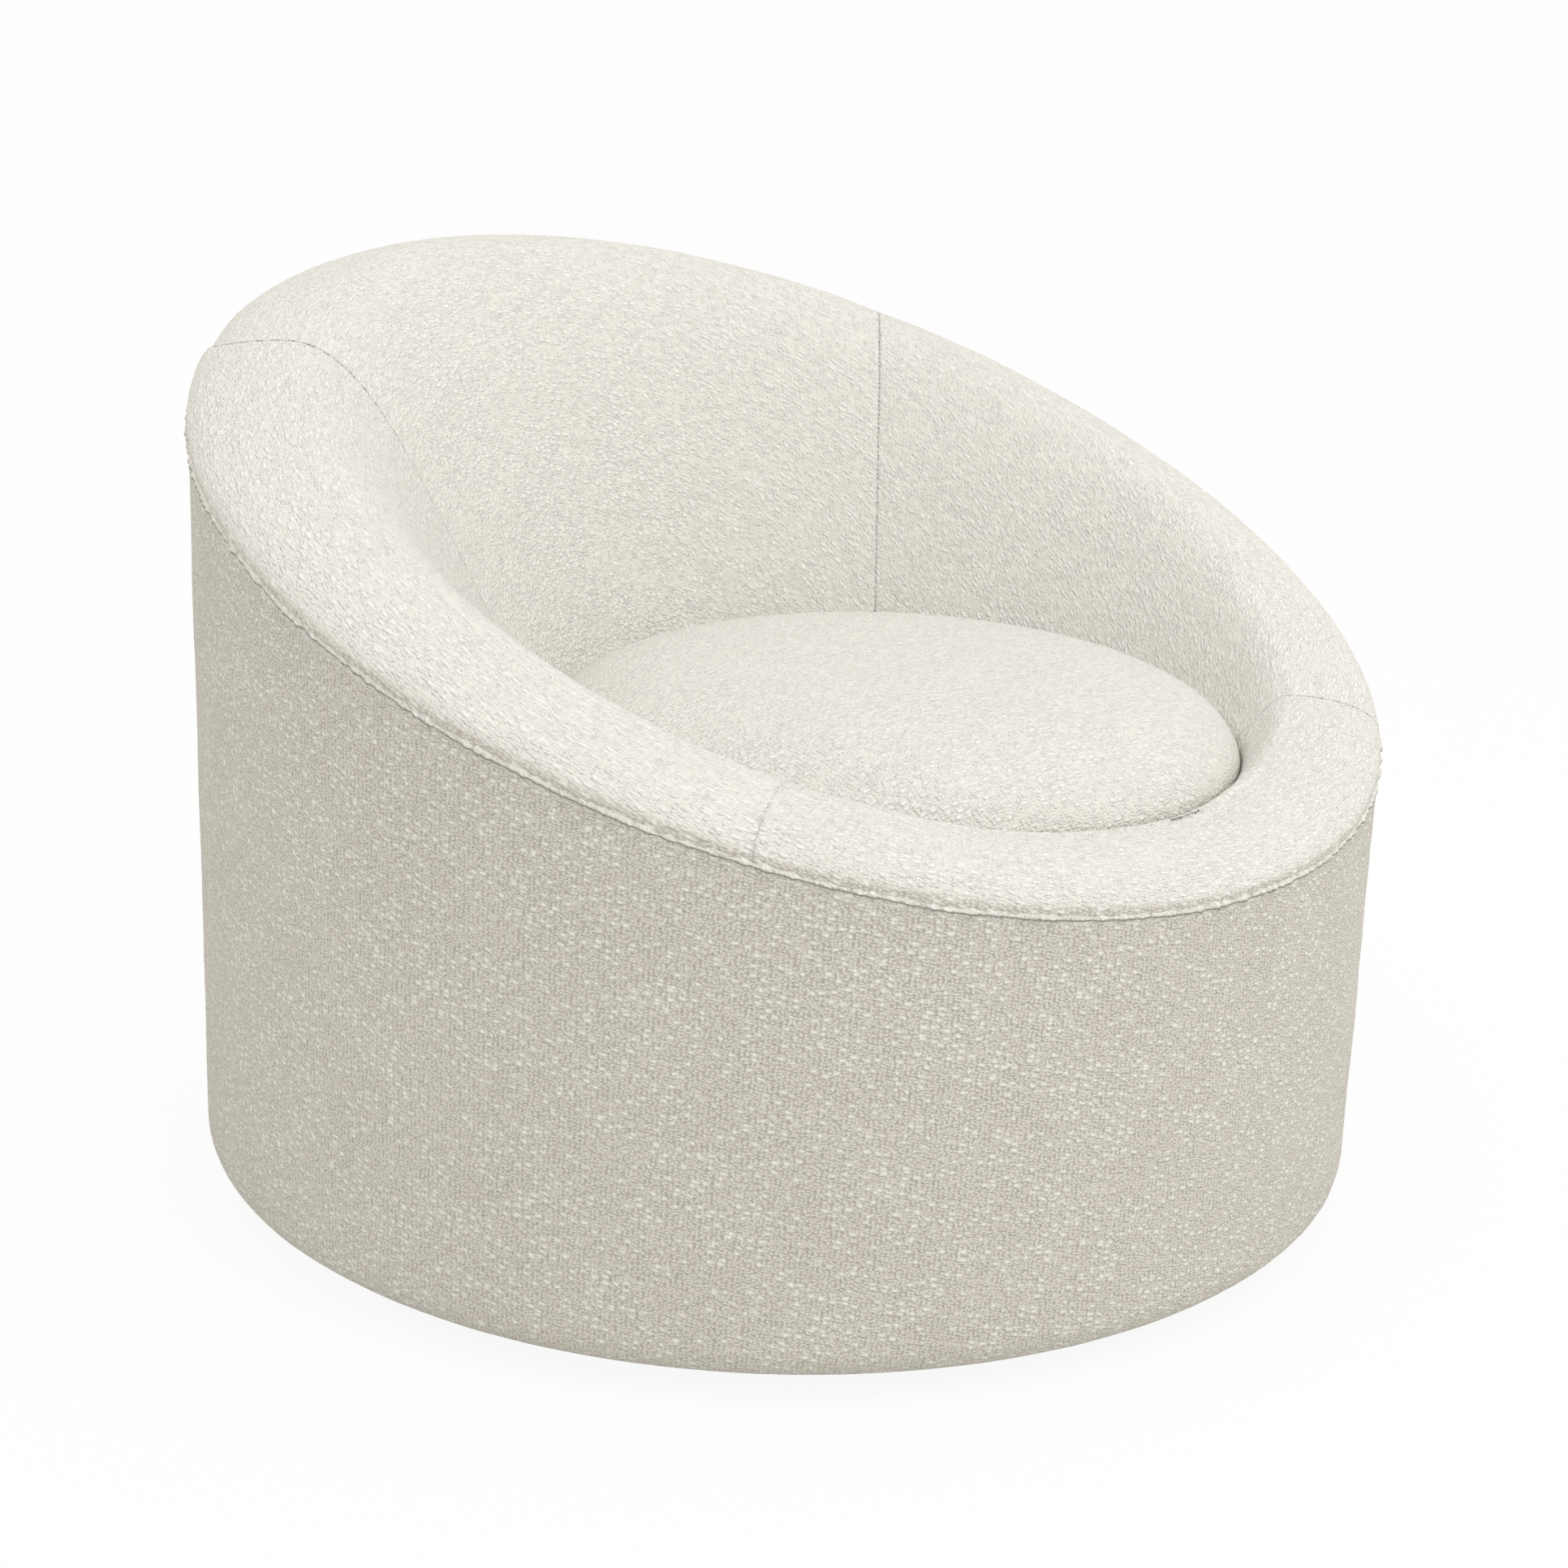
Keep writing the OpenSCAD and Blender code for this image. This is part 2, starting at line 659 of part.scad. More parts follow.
// Sewn ridge along the seam, standing proud of the drum
module rim_welt() {
    color(cream) intersection() {
        translate([0, 0, seam_h - welt_h / 2]) rotate([rim_slope, 0, 0])
            translate([-big / 2, -big / 2, 0]) cube([big, big, welt_h * cos(rim_slope)]);
        difference() {
            cylinder(r = drum_r + welt_out, h = big);
            translate([0, 0, -1]) cylinder(r = drum_r - cover_t - 1, h = big + 2);
        }
    }
}

module lining_back() { lining(0); }
module lining_left() { lining(1); }
module lining_front() { lining(2); }
module lining_right() { lining(3); }

// Black cloth under the drum, lapped over the turned-in edge of the side cover
module dust_cover() {
    cloth_t = 0.8;
    lap = hem_w * 0.65;
    start_r = ring_open_r + 6;
    high = ring_z0 - fit;
    low = floor_gap - fit;
    down_r = turn_in_r - fit;
    up_r = down_r - (high - low);
    color([0.10, 0.10, 0.10]) rotate_extrude() polygon([
        [start_r, high], [start_r, high - cloth_t],
        [up_r - cloth_t / 2, high - cloth_t], [down_r - cloth_t / 2, low - cloth_t],
        [turn_in_r + lap, low - cloth_t], [turn_in_r + lap, low], [down_r, low],
        [up_r, high]]);
}

glides();
plinth();
lower_swivel_plate();
plinth_screws();
centre_pin();
ball_cage();
bearing_balls();
upper_swivel_plate();
swivel_bolts();
tee_nuts();
bottom_ring();
base_board();
posts();
post_screws();
seat_cleats();
cleat_screws();
seat_board();
sinuous_springs();
spring_clips();
deck_pad();
seat_core();
seat_topper();
top_ring();
inner_shell();
outer_skin();
side_wadding();
rim_foam();
back_foam();
side_cover();
rim_welt();
lining_back();
lining_left();
lining_front();
lining_right();
seat_cover();
dust_cover();
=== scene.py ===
import math

import bpy
import numpy as np
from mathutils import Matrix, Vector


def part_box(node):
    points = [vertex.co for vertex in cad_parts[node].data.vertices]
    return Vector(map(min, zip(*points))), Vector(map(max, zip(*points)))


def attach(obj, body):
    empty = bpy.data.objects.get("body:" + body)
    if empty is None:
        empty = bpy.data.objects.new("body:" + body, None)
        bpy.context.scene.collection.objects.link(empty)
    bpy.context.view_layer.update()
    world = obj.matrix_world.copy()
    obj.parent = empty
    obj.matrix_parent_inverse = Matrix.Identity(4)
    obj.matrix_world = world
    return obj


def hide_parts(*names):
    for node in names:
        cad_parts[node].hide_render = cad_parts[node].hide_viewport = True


bl_info = {
    "name": "Tub Armchair",
    "version": (1, 0, 0),
    "blender": (4, 5, 0),
    "location": "View3D > Sidebar > Armchair",
    "description": "Upholsters the armchair's frame in boucle and sets the studio round it",
    "category": "Object",
}

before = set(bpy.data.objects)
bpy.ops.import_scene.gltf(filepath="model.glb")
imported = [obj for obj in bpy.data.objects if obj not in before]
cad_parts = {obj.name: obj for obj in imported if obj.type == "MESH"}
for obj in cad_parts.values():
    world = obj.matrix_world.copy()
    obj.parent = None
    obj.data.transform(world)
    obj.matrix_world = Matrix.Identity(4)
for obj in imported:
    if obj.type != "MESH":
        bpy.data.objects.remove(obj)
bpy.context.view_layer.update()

SIDE_LOW, SIDE_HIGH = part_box("side_cover")
SEAT_LOW, SEAT_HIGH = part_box("seat_cover")

# metres
CREASE = 0.352        # height of the crease round the seat
CLOTH = 0.0024        # thickness of the boucle
FIT = 0.0003          # room between the tuck of the seat and that of the linings
SEAM_LAP = 0.001      # how far each cover ends short of the rim seam
MARK = 0.0015         # half the width of a row of stitch marks
FAR = 1.0             # distance given to points of a piece without stitched seams

# the inside of a cover has one point for so many of its face's, along both parameters
COARSE = 4
# the level of the nubs at which they leave a surface where it is
NUB_LEVEL = 0.45


# ---- sizes, colours and lights that a user would change ----
class DrumSizes(bpy.types.PropertyGroup):
    radius: bpy.props.FloatProperty(
        name="Radius", description="Outer radius of the upholstered drum",
        default=SIDE_HIGH.x, min=0.3, unit="LENGTH")
    bottom: bpy.props.FloatProperty(
        name="Bottom", description="Height of the drum's lower edge above the floor",
        default=SIDE_LOW.z, min=0.0, unit="LENGTH")
    edge: bpy.props.FloatProperty(
        name="Lower edge", description="Radius of the rounded lower edge",
        default=0.027, min=0.005, unit="LENGTH")
    turn_in: bpy.props.FloatProperty(
        name="Turned in", description="Width of the cover turned in under the drum",
        default=0.028, min=0.01, unit="LENGTH")
    seam_height: bpy.props.FloatProperty(
        name="Seam height", description="Height of the rim seam at the drum's axis",
        default=0.485, min=0.3, unit="LENGTH")
    slope: bpy.props.FloatProperty(
        name="Slope", description="Slope of the rim seam from front to back",
        default=math.radians(19.5), min=0.0, max=0.6, unit="ROTATION", subtype="ANGLE")


class RimSizes(bpy.types.PropertyGroup):
    rise: bpy.props.FloatProperty(
        name="Rise", description="Rise of the padded rim above its seam",
        default=0.034, min=0.01, unit="LENGTH")
    crest_in: bpy.props.FloatProperty(
        name="Crest", description="Distance from the drum's face to the crest of the rim",
        default=0.071, min=0.03, unit="LENGTH")
    swell: bpy.props.FloatProperty(
        name="Swell", description="How far the rim swells past the drum's face",
        default=0.006, min=0.0, unit="LENGTH")
    ridge_height: bpy.props.FloatProperty(
        name="Ridge height", description="Height of the sewn ridge along the rim seam",
        default=0.0044, min=0.001, unit="LENGTH")
    ridge_out: bpy.props.FloatProperty(
        name="Ridge", description="How far the sewn ridge stands proud of the drum",
        default=0.003, min=0.001, unit="LENGTH")
    seam_marks: bpy.props.FloatVectorProperty(
        name="Seam marks", description="How plainly the stitches of each panel seam show",
        size=4, default=(0.85, 0.9, 0.1, 0.55), min=0.0, max=1.0)
    seam_reach: bpy.props.FloatVectorProperty(
        name="Seam reach", description="How far in from the rim each panel seam stays plain",
        size=4, default=(1.0, 0.17, 0.17, 0.12), min=0.01, unit="LENGTH")
    seam_lean: bpy.props.FloatVectorProperty(
        name="Seam lean", description="How far round each seam leans, at the rim's outer edge",
        size=4, default=(0.0, math.radians(-4), 0.0, 0.0), subtype="EULER")
    seam_step: bpy.props.FloatVectorProperty(
        name="Seam step", description="How far the panel after each seam stands proud of the "
        "one before it, on the outside of the rim; below zero, the one before stands proud",
        size=4, default=(0.0, 0.0034, 0.0, 0.0), unit="LENGTH")
    seams: bpy.props.FloatVectorProperty(
        name="Seams", description="Directions of the panel seams from the seat's centre",
        size=4, default=[math.radians(a) for a in (45, 127, 210, 318)], unit="ROTATION",
        subtype="EULER")
    puff: bpy.props.FloatProperty(
        name="Puff", description="How far the panels swell up between their seams",
        default=0.0010, min=0.0, unit="LENGTH")


class SeatSizes(bpy.types.PropertyGroup):
    radius: bpy.props.FloatProperty(
        name="Radius", description="Radius of the seat at the crease",
        default=(SEAT_HIGH.x - SEAT_LOW.x) / 2 + FIT, min=0.2, unit="LENGTH")
    centre: bpy.props.FloatProperty(
        name="Centre", description="Place of the seat's centre along the chair",
        default=(SEAT_HIGH.y + SEAT_LOW.y) / 2, unit="LENGTH")
    crease: bpy.props.FloatProperty(
        name="Crease height", description="Height of the crease round the seat",
        default=CREASE, min=0.2, unit="LENGTH")
    crown: bpy.props.FloatProperty(
        name="Crown", description="Height of the seat's crown above the crease",
        default=SEAT_HIGH.z - CREASE, min=0.0, unit="LENGTH")
    tuck: bpy.props.FloatProperty(
        name="Tuck", description="Depth of the fabric tucked into the crease",
        default=0.045, min=0.01, unit="LENGTH")


class FabricLook(bpy.types.PropertyGroup):
    stitch: bpy.props.FloatProperty(
        name="Stitch", description="Distance between the stitches along a seam",
        default=0.0041, min=0.001, unit="LENGTH")
    loop_colour: bpy.props.FloatVectorProperty(
        name="Loops", description="Colour of the raised loops", subtype="COLOR",
        size=3, default=(0.92, 0.897, 0.855), min=0.0, max=1.0)
    # the ground colours are painted shade in the hollows between the loops: the darker one where
    # the cloth faces sideways or down, and the lighter one, painted light, where it faces up
    shaded_ground_colour: bpy.props.FloatVectorProperty(
        name="Ground", description="Colour of the hollows between the loops", subtype="COLOR",
        size=3, default=(0.46, 0.425, 0.345), min=0.0, max=1.0)
    lit_ground: bpy.props.FloatVectorProperty(
        name="Lit ground", description="Colour of the ground where light falls straight in",
        subtype="COLOR", size=3, default=(0.745, 0.717, 0.665), min=0.0, max=1.0)
    wander: bpy.props.FloatProperty(
        name="Wander", description="How far the rows of loops stray from straight lines",
        default=0.0036, min=0.0, unit="LENGTH")
    slub_size: bpy.props.FloatProperty(
        name="Slub size", description="Distance between neighbouring slubs",
        default=0.0060, min=0.002, unit="LENGTH")
    column: bpy.props.FloatProperty(
        name="Column", description="Distance between the upright columns of the weave",
        default=0.0037, min=0.001, unit="LENGTH")
    twill: bpy.props.FloatProperty(
        name="Twill", description="Angle at which the rows of loops run down the cloth",
        default=math.radians(13), unit="ROTATION", subtype="ANGLE")
    slub_rise: bpy.props.FloatProperty(
        name="Slub rise", description="How far the slubs stand above the loops",
        default=0.90, min=0.0)
    relief: bpy.props.FloatProperty(
        name="Relief", description="Height of the loops above the ground",
        default=0.0021, min=0.0, unit="LENGTH")
    warp_pitch: bpy.props.FloatProperty(
        name="Warp pitch", description="Distance between loops along a row",
        default=0.0030, min=0.001, unit="LENGTH")
    weft_pitch: bpy.props.FloatProperty(
        name="Weft pitch", description="Distance between the rows of loops",
        default=0.0022, min=0.001, unit="LENGTH")


class StudioLook(bpy.types.PropertyGroup):
    azimuth: bpy.props.FloatProperty(
        name="Azimuth", description="Direction of the camera round the chair",
        default=math.radians(-45.95), unit="ROTATION", subtype="ANGLE")
    elevation: bpy.props.FloatProperty(
        name="Elevation", description="Angle of the camera above the horizon",
        default=math.radians(17.19), unit="ROTATION", subtype="ANGLE")
    roll: bpy.props.FloatProperty(
        name="Roll", description="Turn of the camera about its own axis",
        default=math.radians(1.84), unit="ROTATION", subtype="ANGLE")
    distance: bpy.props.FloatProperty(
        name="Distance", description="Distance of the camera from the point it looks at",
        default=2.34, min=0.5, unit="LENGTH")
    aim_up: bpy.props.FloatProperty(
        name="Aim up", description="How far up the view's own vertical the camera aims",
        default=0.2673, unit="LENGTH")
    aim_right: bpy.props.FloatProperty(
        name="Aim right", description="How far to the right the camera aims",
        default=-0.0019, unit="LENGTH")
    lens: bpy.props.FloatProperty(
        name="Lens", description="Focal length on a 36 mm sensor, in millimetres",
        default=66.3, min=10.0)
    sky: bpy.props.FloatProperty(
        name="Sky", description="Strength of the even light from all round",
        default=0.918, min=0.0)
    top_light: bpy.props.FloatProperty(
        name="Top light", description="Power of the broad lamp overhead, in watts",
        default=15.5, min=0.0)
    front_light: bpy.props.FloatProperty(
        name="Front light", description="Power of the lamp at the front right, in watts",
        default=19.5, min=0.0)


# ---- noise and meshes ----
# large odd numbers, and the largest number of 32 bits
FACTORS = (374761393, 668265263, 974711)
SEED_FACTOR = 144269
FOLD_FACTOR = 1274126177
LARGEST = 0xFFFFFFFF


def mixed(cell, seed):
    """A repeatable random number from 0 to 1 for each whole-number cell: its three
    numbers and the seed are multiplied by large odd numbers and added, and the lowest 32
    bits are folded onto themselves twice, with one more multiplication in between."""
    n = sum(cell[..., k] * factor for k, factor in enumerate(FACTORS)) + seed * SEED_FACTOR
    n = n & LARGEST
    n = ((n ^ (n >> 13)) * FOLD_FACTOR) & LARGEST
    return (n ^ (n >> 16)) / LARGEST


def swells(points, size, seed):
    """Smooth waves from -1 to 1: random numbers at the corners of cubes of that size,
    blended across each cube by 3t^2 - 2t^3."""
    q = points / size
    cell = np.floor(q).astype(np.int64)
    t = q - cell
    t = t * t * (3 - 2 * t)
    total = np.zeros(points.shape[:-1])
    for corner in np.ndindex(2, 2, 2):
        share = np.prod(np.where(np.array(corner) == 1, t, 1 - t), axis=-1)
        total += share * mixed(cell + np.array(corner), seed)
    return 2 * total - 1


def nubs(points, size, seed):
    """1 at the middle of each knot of yarn and 0 between knots: one minus the distance, in
    sizes, to the nearest of a set of points, one at random in each cube of that size."""
    q = points / size
    cell = np.floor(q).astype(np.int64)
    nearest = np.full(points.shape[:-1], np.inf)
    for near in np.ndindex(3, 3, 3):
        home = cell + np.array(near) - 1
        spot = home + np.stack([mixed(home, seed + k) for k in range(3)], axis=-1)
        nearest = np.minimum(nearest, np.linalg.norm(q - spot, axis=-1))
    return np.clip(1 - nearest, 0, 1)


def bell(distance, width):
    """A bell curve: exp(-(distance / width)^2)."""
    return np.exp(-(distance / width) ** 2)


def outward(grid):
    """Unit normals of a grid: the cross product of its steps along both parameters."""
    n = np.cross(np.gradient(grid, axis=0), np.gradient(grid, axis=1))
    return n / np.maximum(np.linalg.norm(n, axis=-1, keepdims=True), 1e-12)


def roughened(grid, seed, edge):
    """Cloth that isn't quite flat: the grid moved along its normals by broad swells of
    0.5 mm, smaller ones of 0.25 mm and large knots of yarn of 0.4 mm, faded by edge."""
    broad, small, knot = 0.075, 0.024, 0.0095
    lift = 0.0005 * swells(grid, broad, seed) + 0.00025 * swells(grid, small, seed + 5)
    lift = lift + 0.0004 * (nubs(grid, knot, seed + 9) - NUB_LEVEL)
    return grid + outward(grid) * (lift * edge)[..., None]


def new_piece(name, points, faces, weave):
    """A mesh object at the origin from points and faces, shaded smooth. Weave gives each
    point two or three numbers: its place on the flat cloth, in metres, and its distance
    to the nearest stitched seam, which is FAR where it is left out. Up to MARK is added
    to that distance where the stitches show less."""
    mesh = bpy.data.meshes.new(name)
    mesh.from_pydata(points, [], faces)
    mesh.shade_smooth()
    layer = mesh.attributes.new("weave", "FLOAT_VECTOR", "POINT")
    flat = np.full((len(points), 3), FAR, np.float32)
    flat[:, :weave.shape[1]] = weave
    layer.data.foreach_set("vector", flat.ravel())
    mesh.update()
    piece = bpy.data.objects.new(name, mesh)
    bpy.context.scene.collection.objects.link(piece)
    return piece


def quads(ids):
    """Quads between the neighbouring rows and columns of a grid of point numbers."""
    return np.stack([ids[:-1, :-1], ids[1:, :-1], ids[1:, 1:], ids[:-1, 1:]], -1).reshape(-1, 4)


def fringe(fine, coarse):
    """Triangles between a fine edge and a coarse one, with one coarse point for each COARSE
    fine ones: each half of a stretch fans out from the nearer coarse point."""
    starts = np.arange(0, len(fine) - 1, COARSE)
    faces = []
    for k in range(COARSE):
        hub = coarse[:-1] if k < COARSE // 2 else coarse[1:]
        faces.append(np.stack([fine[starts + k], fine[starts + k + 1], hub], -1))
    faces.append(np.stack([fine[starts + COARSE // 2], coarse[1:], coarse[:-1]], -1))
    return np.concatenate(faces)


def cloth_piece(name, grid, weave):
    """A closed sheet of cloth: the fine grid outside, a coarse copy of it one thickness
    further in, and a flat-shaded fringe of triangles along its four edges."""
    nu, nv = grid.shape[:2]
    inner = (grid - outward(grid) * CLOTH)[::COARSE, ::COARSE]
    mu, mv = inner.shape[:2]
    fine = np.arange(nu * nv).reshape(nu, nv)
    coarse = nu * nv + np.arange(mu * mv).reshape(mu, mv)
    points = np.concatenate([grid.reshape(-1, 3), inner.reshape(-1, 3)])
    flat = np.concatenate([w.reshape(-1, w.shape[-1]) for w in (weave, weave[::COARSE, ::COARSE])])
    faces = quads(fine).tolist() + quads(coarse)[:, ::-1].tolist()
    faces += fringe(fine[:, 0], coarse[:, 0])[:, ::-1].tolist()
    faces += fringe(fine[:, -1], coarse[:, -1]).tolist()
    faces += fringe(fine[0], coarse[0]).tolist()
    faces += fringe(fine[-1], coarse[-1])[:, ::-1].tolist()
    piece = new_piece(name, points, faces, flat)
    smooth = np.ones(len(faces), bool)
    smooth[(nu - 1) * (nv - 1) + (mu - 1) * (mv - 1):] = False
    piece.data.polygons.foreach_set("use_smooth", smooth)
    return piece


def ring_piece(name, grid, weave):
    """A closed ring: a grid that joins up with itself along both parameters."""
    nu, nv = grid.shape[:2]
    ids = np.arange(nu * nv).reshape(nu, nv)
    ids = np.concatenate([ids, ids[:1]])
    ids = np.concatenate([ids, ids[:, :1]], axis=1)
    flat = weave.reshape(-1, weave.shape[-1])
    return new_piece(name, grid.reshape(-1, 3), quads(ids).tolist(), flat)


# ---- the form of the padded rim and wall ----
# the crest lies in from the drum's face by at most this share of the width to the seat
CREST_LIMIT = 0.86
# control points of the rim: the swell's height over the rise, and where the rim comes up to
# the crest's height, over the way in to the crest
SWELL_UP = 0.6
LEVEL_FROM = 0.45
# control points of the wall, over its run: how far its top stays level, and its middle
LEVEL_TO = 0.34
MIDDLE = (0.45, 0.57)


def reach(sizes, angle, radius):
    """Distance from the seat's centre to a circle about the drum's axis, by the theorem of
    Pythagoras: the part of the centres' offset along the angle and the circle's half chord."""
    off = -sizes.seat.centre
    along = off * np.sin(angle)
    return along + np.sqrt(radius ** 2 - (off * np.cos(angle)) ** 2)


def seam_level(sizes, y):
    """Height of the rim seam's plane at a place y along the chair."""
    return sizes.drum.seam_height + math.tan(sizes.drum.slope) * y


def bezier(controls, t):
    """Cubic Bezier curves at parameters t, one for each row of four control points: the
    points weighted by (1-t)^3, 3t(1-t)^2, 3t^2(1-t) and t^3."""
    a, b, c, d = (controls[:, None, k] for k in range(4))
    t = t[None, :, None]
    return (1 - t) ** 3 * a + 3 * t * (1 - t) ** 2 * b + 3 * t * t * (1 - t) * c + t ** 3 * d


def rim_curve(sizes, angle, t):
    """From the rim seam, out over the swell and up to the crest, as (distance from the
    seat's centre, height) for each angle: a cubic curve that leans out at first and ends
    level."""
    rim = sizes.rim
    out = reach(sizes, angle, sizes.drum.radius)
    low = seam_level(sizes, sizes.seat.centre + out * np.sin(angle))
    crest = np.minimum(rim.crest_in, CREST_LIMIT * (out - sizes.seat.radius))
    return bezier(np.stack([
        np.stack([out, low + SEAM_LAP], -1),
        np.stack([out + rim.swell, low + SWELL_UP * rim.rise], -1),
        np.stack([out - LEVEL_FROM * crest, low + rim.rise], -1),
        np.stack([out - crest, low + rim.rise], -1)], 1), t)


def wall_curve(sizes, angle, t):
    """From the crest of the rim down the inside of the tub to the crease: a cubic curve
    that starts level."""
    top = rim_curve(sizes, angle, np.ones(1))[:, 0]
    foot = np.array([sizes.seat.radius, sizes.seat.crease])
    run = top - foot
    middle = foot + run * np.array(MIDDLE)
    over = np.stack([top[:, 0] - LEVEL_TO * run[:, 0], top[:, 1]], -1)
    return bezier(np.stack([top, over, middle, np.broadcast_to(foot, top.shape)], 1), t)


def tub_section(sizes, angle, rim_steps, wall_steps, tuck_steps):
    """Rim, wall and the tuck below the crease, as one run of points for each angle."""
    rim = rim_curve(sizes, angle, np.linspace(0, 1, rim_steps + 1))
    wall = wall_curve(sizes, angle, np.linspace(0, 1, wall_steps + 1)[1:])
    down = np.linspace(0, -sizes.seat.tuck, tuck_steps + 1)[1:]
    tuck = np.stack(np.broadcast_arrays(sizes.seat.radius, sizes.seat.crease + down), -1)
    tuck = np.broadcast_to(tuck, (len(angle),) + tuck.shape)
    return np.concatenate([rim, wall, tuck], axis=1)


def swung(sizes, angle, section):
    """Sections swung about the seat's centre, each point to its own angle."""
    away, up = section[..., 0], section[..., 1]
    return np.stack([away * np.cos(angle), sizes.seat.centre + away * np.sin(angle), up], -1)


# ---- materials ----
class Tree:
    """Short calls for building one node tree."""

    def __init__(self, tree):
        self.tree = tree
        tree.nodes.clear()

    def add(self, kind, **settings):
        node = self.tree.nodes.new(kind)
        for key, value in settings.items():
            setattr(node, key, value)
        return node

    def join(self, source, target):
        """Links a socket to another, or sets that one to a number or a colour."""
        if isinstance(source, bpy.types.NodeSocket):
            self.tree.links.new(source, target)
        else:
            target.default_value = source

    def maths(self, operation, *values, clamp=False):
        node = self.add("ShaderNodeMath", operation=operation, use_clamp=clamp)
        for value, socket in zip(values, node.inputs):
            self.join(value, socket)
        return node.outputs[0]

    def either(self, share, low, high):
        """One shader where share is 0 and the other where it is 1."""
        node = self.add("ShaderNodeMixShader")
        for value, socket in zip((share, low, high), node.inputs):
            self.join(value, socket)
        return node.outputs[0]

    def seen(self):
        """1 on camera, glossy and transmission rays, otherwise 0."""
        rays = self.add("ShaderNodeLightPath").outputs
        direct = self.maths("MAXIMUM", rays["Is Camera Ray"], rays["Is Glossy Ray"])
        return self.maths("MAXIMUM", direct, rays["Is Transmission Ray"])


class Finish(Tree):
    """A material with one principled shader, and short calls for its patterns."""

    def __init__(self, name):
        self.material = bpy.data.materials.new(name)
        self.material.use_nodes = True
        super().__init__(self.material.node_tree)
        self.shader = self.add("ShaderNodeBsdfPrincipled")
        output = self.add("ShaderNodeOutputMaterial")
        self.join(self.shader.outputs[0], output.inputs["Surface"])

    def place(self):
        return self.add("ShaderNodeTexCoord").outputs["Object"]

    def noise(self, vector, size, detail=2.0, rough=0.5, output="Fac"):
        node = self.add("ShaderNodeTexNoise")
        self.join(vector, node.inputs["Vector"])
        node.inputs["Scale"].default_value = 1 / size
        node.inputs["Detail"].default_value = detail
        node.inputs["Roughness"].default_value = rough
        return node.outputs[output]

    def cells(self, vector, length, width):
        """Distance to the nearest of a set of points, one at random in each cell of that
        length and width, and a random number for each cell."""
        place = self.add("ShaderNodeVectorMath", operation="DIVIDE")
        self.join(vector, place.inputs[0])
        place.inputs[1].default_value = (length, width, 1.0)
        node = self.add("ShaderNodeTexVoronoi", voronoi_dimensions="2D")
        self.join(place.outputs[0], node.inputs["Vector"])
        node.inputs["Scale"].default_value = 1.0
        pick = self.add("ShaderNodeSeparateColor")
        self.join(node.outputs["Color"], pick.inputs[0])
        return node, pick.outputs[0]

    def ramp(self, value, low, high, kind="SMOOTHSTEP"):
        """0 at low, 1 at high and an S-shaped or straight line between them."""
        node = self.add("ShaderNodeMapRange", interpolation_type=kind)
        self.join(value, node.inputs["Value"])
        node.inputs["From Min"].default_value = low
        node.inputs["From Max"].default_value = high
        return node.outputs["Result"]

    def blend(self, share, low, high):
        """One colour where share is 0 and the other where it is 1."""
        node = self.add("ShaderNodeMix", data_type="RGBA")
        for value, name in ((share, "Factor"), (low, "A"), (high, "B")):
            self.join(value, node.inputs[name])
        return node.outputs["Result"]

    def bump(self, height, distance):
        node = self.add("ShaderNodeBump")
        node.inputs["Strength"].default_value = 1.0
        node.inputs["Distance"].default_value = distance
        self.join(height, node.inputs["Height"])
        self.join(node.outputs[0], self.shader.inputs["Normal"])

    def gloss(self, **values):
        for name, value in values.items():
            self.shader.inputs[name.replace("_", " ")].default_value = value


